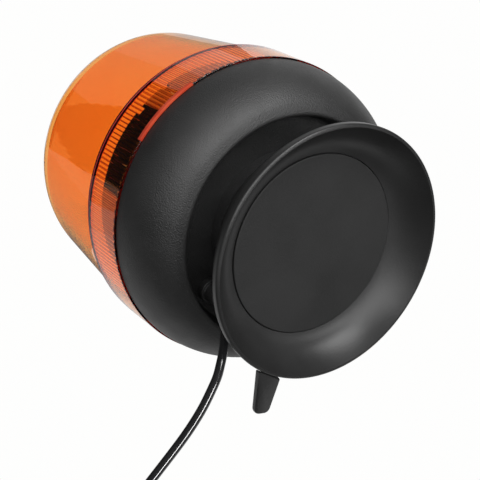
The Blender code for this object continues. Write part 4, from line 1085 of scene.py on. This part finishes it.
def emitter_windows():
    """Yellow faces of the light sources on the tower's strips and top."""
    low, high = EMITTER_ROWS
    face = rounded_square(0.0, WINDOW_HALF, WINDOW_FILLET, 4)
    bm = bmesh.new()
    for i in range(STRIPS):
        stand = Matrix.Rotation(radians(STRIP_AZIMUTH + 360 / STRIPS * i), 4, "Z")
        stand = stand @ Matrix.Rotation(pi / 2, 4, "Y")
        for k in range(EMITTERS_PER_STRIP):
            height = low + (high - low) * (k + 0.5) / EMITTERS_PER_STRIP
            start = len(bm.verts)
            prism(bm, face, EMITTER_FACE - WINDOW_SINK, EMITTER_FACE + WINDOW_RISE)
            bm.verts.ensure_lookup_table()
            lift = Matrix.Translation((0.0, 0.0, height))
            bmesh.ops.transform(bm, matrix=lift @ stand, verts=bm.verts[start:])
    disc = spots(36, TOP_WINDOW_RADIUS, 0.0)
    prism(bm, disc, TOP_EMITTER_Z - WINDOW_SINK, TOP_EMITTER_Z + WINDOW_RISE)
    keep(bm, "emitter_windows", PHOSPHOR, "base")


def camera():
    """The photograph's camera."""
    data = bpy.data.cameras.new("camera")
    data.sensor_width = SENSOR_WIDTH
    data.lens = CAMERA_LENS
    data.clip_start = CLIP_START
    seat = in_scene("camera", data)
    turn = Matrix((CAMERA_RIGHT, CAMERA_UP, CAMERA_BACK)).transposed().to_4x4()
    seat.matrix_world = Matrix.Translation(CAMERA_PLACE) @ turn
    bpy.context.scene.camera = seat


def from_camera(right, up, back):
    """A direction given along the photograph's right, up and towards its camera."""
    return (CAMERA_RIGHT * right + CAMERA_UP * up + CAMERA_BACK * back).normalized()


def softbox(name, way, side, distance, size, power):
    """A soft lamp of size (length, height) that faces the beacon, its length along the direction side."""
    data = bpy.data.lights.new(name, "AREA")
    data.shape = "RECTANGLE"
    data.size, data.size_y = size
    data.energy = power
    lamp = in_scene(name, data)
    height = way.cross(side).normalized()
    turn = Matrix((height.cross(way), height, way)).transposed().to_4x4()
    lamp.matrix_world = Matrix.Translation(LAMP_AIM + way * distance) @ turn
    lamp.visible_camera = False
    lamp.visible_transmission = False
    return lamp


def only_for(lamp, piece, state):
    """Let a lamp light one piece alone, or everything but that piece."""
    chosen = bpy.data.collections.new(lamp.name + "_link")
    chosen.objects.link(piece)
    chosen.collection_objects[0].light_linking.link_state = state
    lamp.light_linking.receiver_collection = chosen


def lamps(cord_piece):
    """A wide main lamp, a small one for the cup's dish, a strip for the cord's gloss, and one above."""
    key = softbox("lamp_key", from_camera(0.242, 0.040, 0.970), from_camera(0.915, -0.33, -0.228),
                  LAMP_DISTANCE, (2.2, 0.54), 13.8)
    only_for(key, cord_piece, "EXCLUDE")
    softbox("lamp_dish", from_camera(0.45, 0.57, 0.69), from_camera(0.8, -0.6, 0.0),
            LAMP_DISTANCE, (0.50, 0.36), 5.6)
    low_end = from_camera(0.166, -0.602, 0.781)
    high_end = from_camera(0.669, -0.035, 0.743)
    strip = softbox("lamp_cord", (low_end + high_end).normalized(), (high_end - low_end).normalized(),
                    LAMP_DISTANCE, (0.8, 0.16), 9.5)
    only_for(strip, cord_piece, "INCLUDE")
    top = softbox("lamp_top", Vector((0.16, -0.41, 0.90)), Vector((1.0, 0.0, 0.0)),
                  TOP_LAMP_DISTANCE, (1.6, 1.6), 6.0)
    top.visible_glossy = False


def wall_mesh(name, low, high, left, right):
    """A curved wall between two elevations and two headings, seen from the beacon."""
    bm = bmesh.new()
    grid = []
    for i in range(WALL_ROWS + 1):
        height = radians(low + (high - low) * i / WALL_ROWS)
        row = []
        for j in range(WALL_COLUMNS + 1):
            heading = radians(left + (right - left) * j / WALL_COLUMNS)
            way = from_camera(cos(height) * sin(heading), sin(height), cos(height) * cos(heading))
            row.append(bm.verts.new(way * WALL_DISTANCE))
        grid.append(row)
    for here, there in zip(grid, grid[1:]):
        for j in range(WALL_COLUMNS):
            bm.faces.new((here[j], here[j + 1], there[j + 1], there[j]))
    return mesh_from(bm, name)


def wall_glow(name, level):
    """An even glow that mirrors show and that is otherwise seen through."""
    material, tree, shader = blank(name)
    dial(shader, {"Base Color": (*grey(0.0), 1.0), "Specular IOR Level": 0.0,
                  "Emission Color": (*grey(1.0), 1.0), "Emission Strength": level})
    path = tree.nodes.new("ShaderNodeLightPath")
    see_through = tree.nodes.new("ShaderNodeBsdfTransparent")
    once = math_node(tree, "COMPARE", path.outputs["Glossy Depth"], 1.0)
    mirrored = math_node(tree, "SUBTRACT", path.outputs["Is Glossy Ray"], path.outputs["Is Transmission Ray"])
    shown = math_node(tree, "MAXIMUM", once, mirrored)
    blend(tree, shown, see_through.outputs["BSDF"], shader.outputs["BSDF"])
    return material


def surround():
    """Walls and table of the studio, which only reflections see.

    Each zone is (lowest and highest elevation, first and last heading, brightness), seen from the beacon
    with the photograph's camera at heading 0.
    """
    zones = {
        "dark": (9.0, 66.0, -127.0, 120.0, 0.03),
        "side_low": (9.0, 30.0, -142.0, -127.0, 0.03),
        "side_high": (30.0, 47.0, -150.0, -127.0, 0.16),
        "side_top": (47.0, 66.0, -145.0, -127.0, 0.35),
        "behind_low": (9.0, 30.0, 180.0, 218.0, 0.58),
        "behind_high": (30.0, 47.0, 180.0, 210.0, 0.26),
        "behind_top": (47.0, 66.0, 180.0, 215.0, 0.62),
        "right_wall": (9.0, 66.0, 120.0, 180.0, 0.90),
        "above": (66.0, 90.0, -150.0, 210.0, 0.45),
        "far_table": (-8.0, 9.0, 105.0, 230.0, 0.15),
        "left_table": (0.0, 9.0, 230.0, 260.0, 0.22),
        "left_edge": (-8.0, 0.0, 230.0, 260.0, 0.55),
        "table": (-90.0, -8.0, 105.0, 260.0, 0.70),
        "near_table": (-90.0, 9.0, -100.0, 105.0, 0.03),
    }
    for number, (zone, (*edges, level)) in enumerate(zones.items()):
        name = "surround_%d" % (number + 1)
        mesh = wall_mesh(name, *edges)
        mesh.materials.append(wall_glow(name, level))
        walls = in_scene(name, mesh)
        walls.visible_camera = False
        walls.visible_diffuse = False
        walls.visible_shadow = False
        walls.visible_transmission = zone == "dark"


def floor():
    """A pale floor that shows, with its shadows, from above only."""
    bm = bmesh.new()
    bmesh.ops.create_grid(bm, x_segments=1, y_segments=1, size=FLOOR_SIZE)
    mesh = mesh_from(bm, "floor")
    plane = in_scene("floor", mesh)
    plane.location = (0.0, 0.0, -FLOOR_DROP)
    material, tree, shader = blank("floor_white")
    dial(shader, {"Base Color": (0.86, 0.86, 0.855, 1.0), "Roughness": 0.8})
    see_through = tree.nodes.new("ShaderNodeBsdfTransparent")
    side = tree.nodes.new("ShaderNodeNewGeometry")
    blend(tree, side.outputs["Backfacing"], shader.outputs["BSDF"], see_through.outputs["BSDF"])
    mesh.materials.append(material)
    plane.visible_shadow = False
    plane.visible_glossy = False
    plane.visible_transmission = False
    plane.visible_diffuse = False


def world():
    """White surroundings, dimmer as a light than to the eye."""
    sky = bpy.data.worlds.new("studio")
    bpy.context.scene.world = sky
    sky.use_nodes = True
    tree = sky.node_tree
    dim = tree.nodes["Background"]
    dial(dim, {"Color": (*grey(1.0), 1.0), "Strength": 0.5})
    white = tree.nodes.new("ShaderNodeBackground")
    dial(white, {"Color": (0.99, 0.99, 0.985, 1.0)})
    path = tree.nodes.new("ShaderNodeLightPath")
    seen = path.outputs["Is Camera Ray"]
    for kind in ("Is Glossy Ray", "Is Transmission Ray"):
        seen = math_node(tree, "MAXIMUM", seen, path.outputs[kind])
    blend(tree, seen, dim.outputs["Background"], white.outputs["Background"])


def studio(cord_piece):
    """Background, floor, reflections and lamps."""
    world()
    floor()
    surround()
    lamps(cord_piece)
    bpy.context.scene.view_settings.view_transform = "Standard"


camera()
line, length = cord()
dress_nodes()
lens()
lens_foot_shade()
drum()
light_strips()
bowl()
cup()
pad()
tab()
gland()
emitter_windows()
on_cord = cord_ties() + plug()
on_cord += [nodes[name] for name in ("plug_rear_contact", "plug_fuse", "plug_nose_ring", "plug_tip",
                                     "plug_side_contact_1", "plug_side_contact_2")]
studio(line)
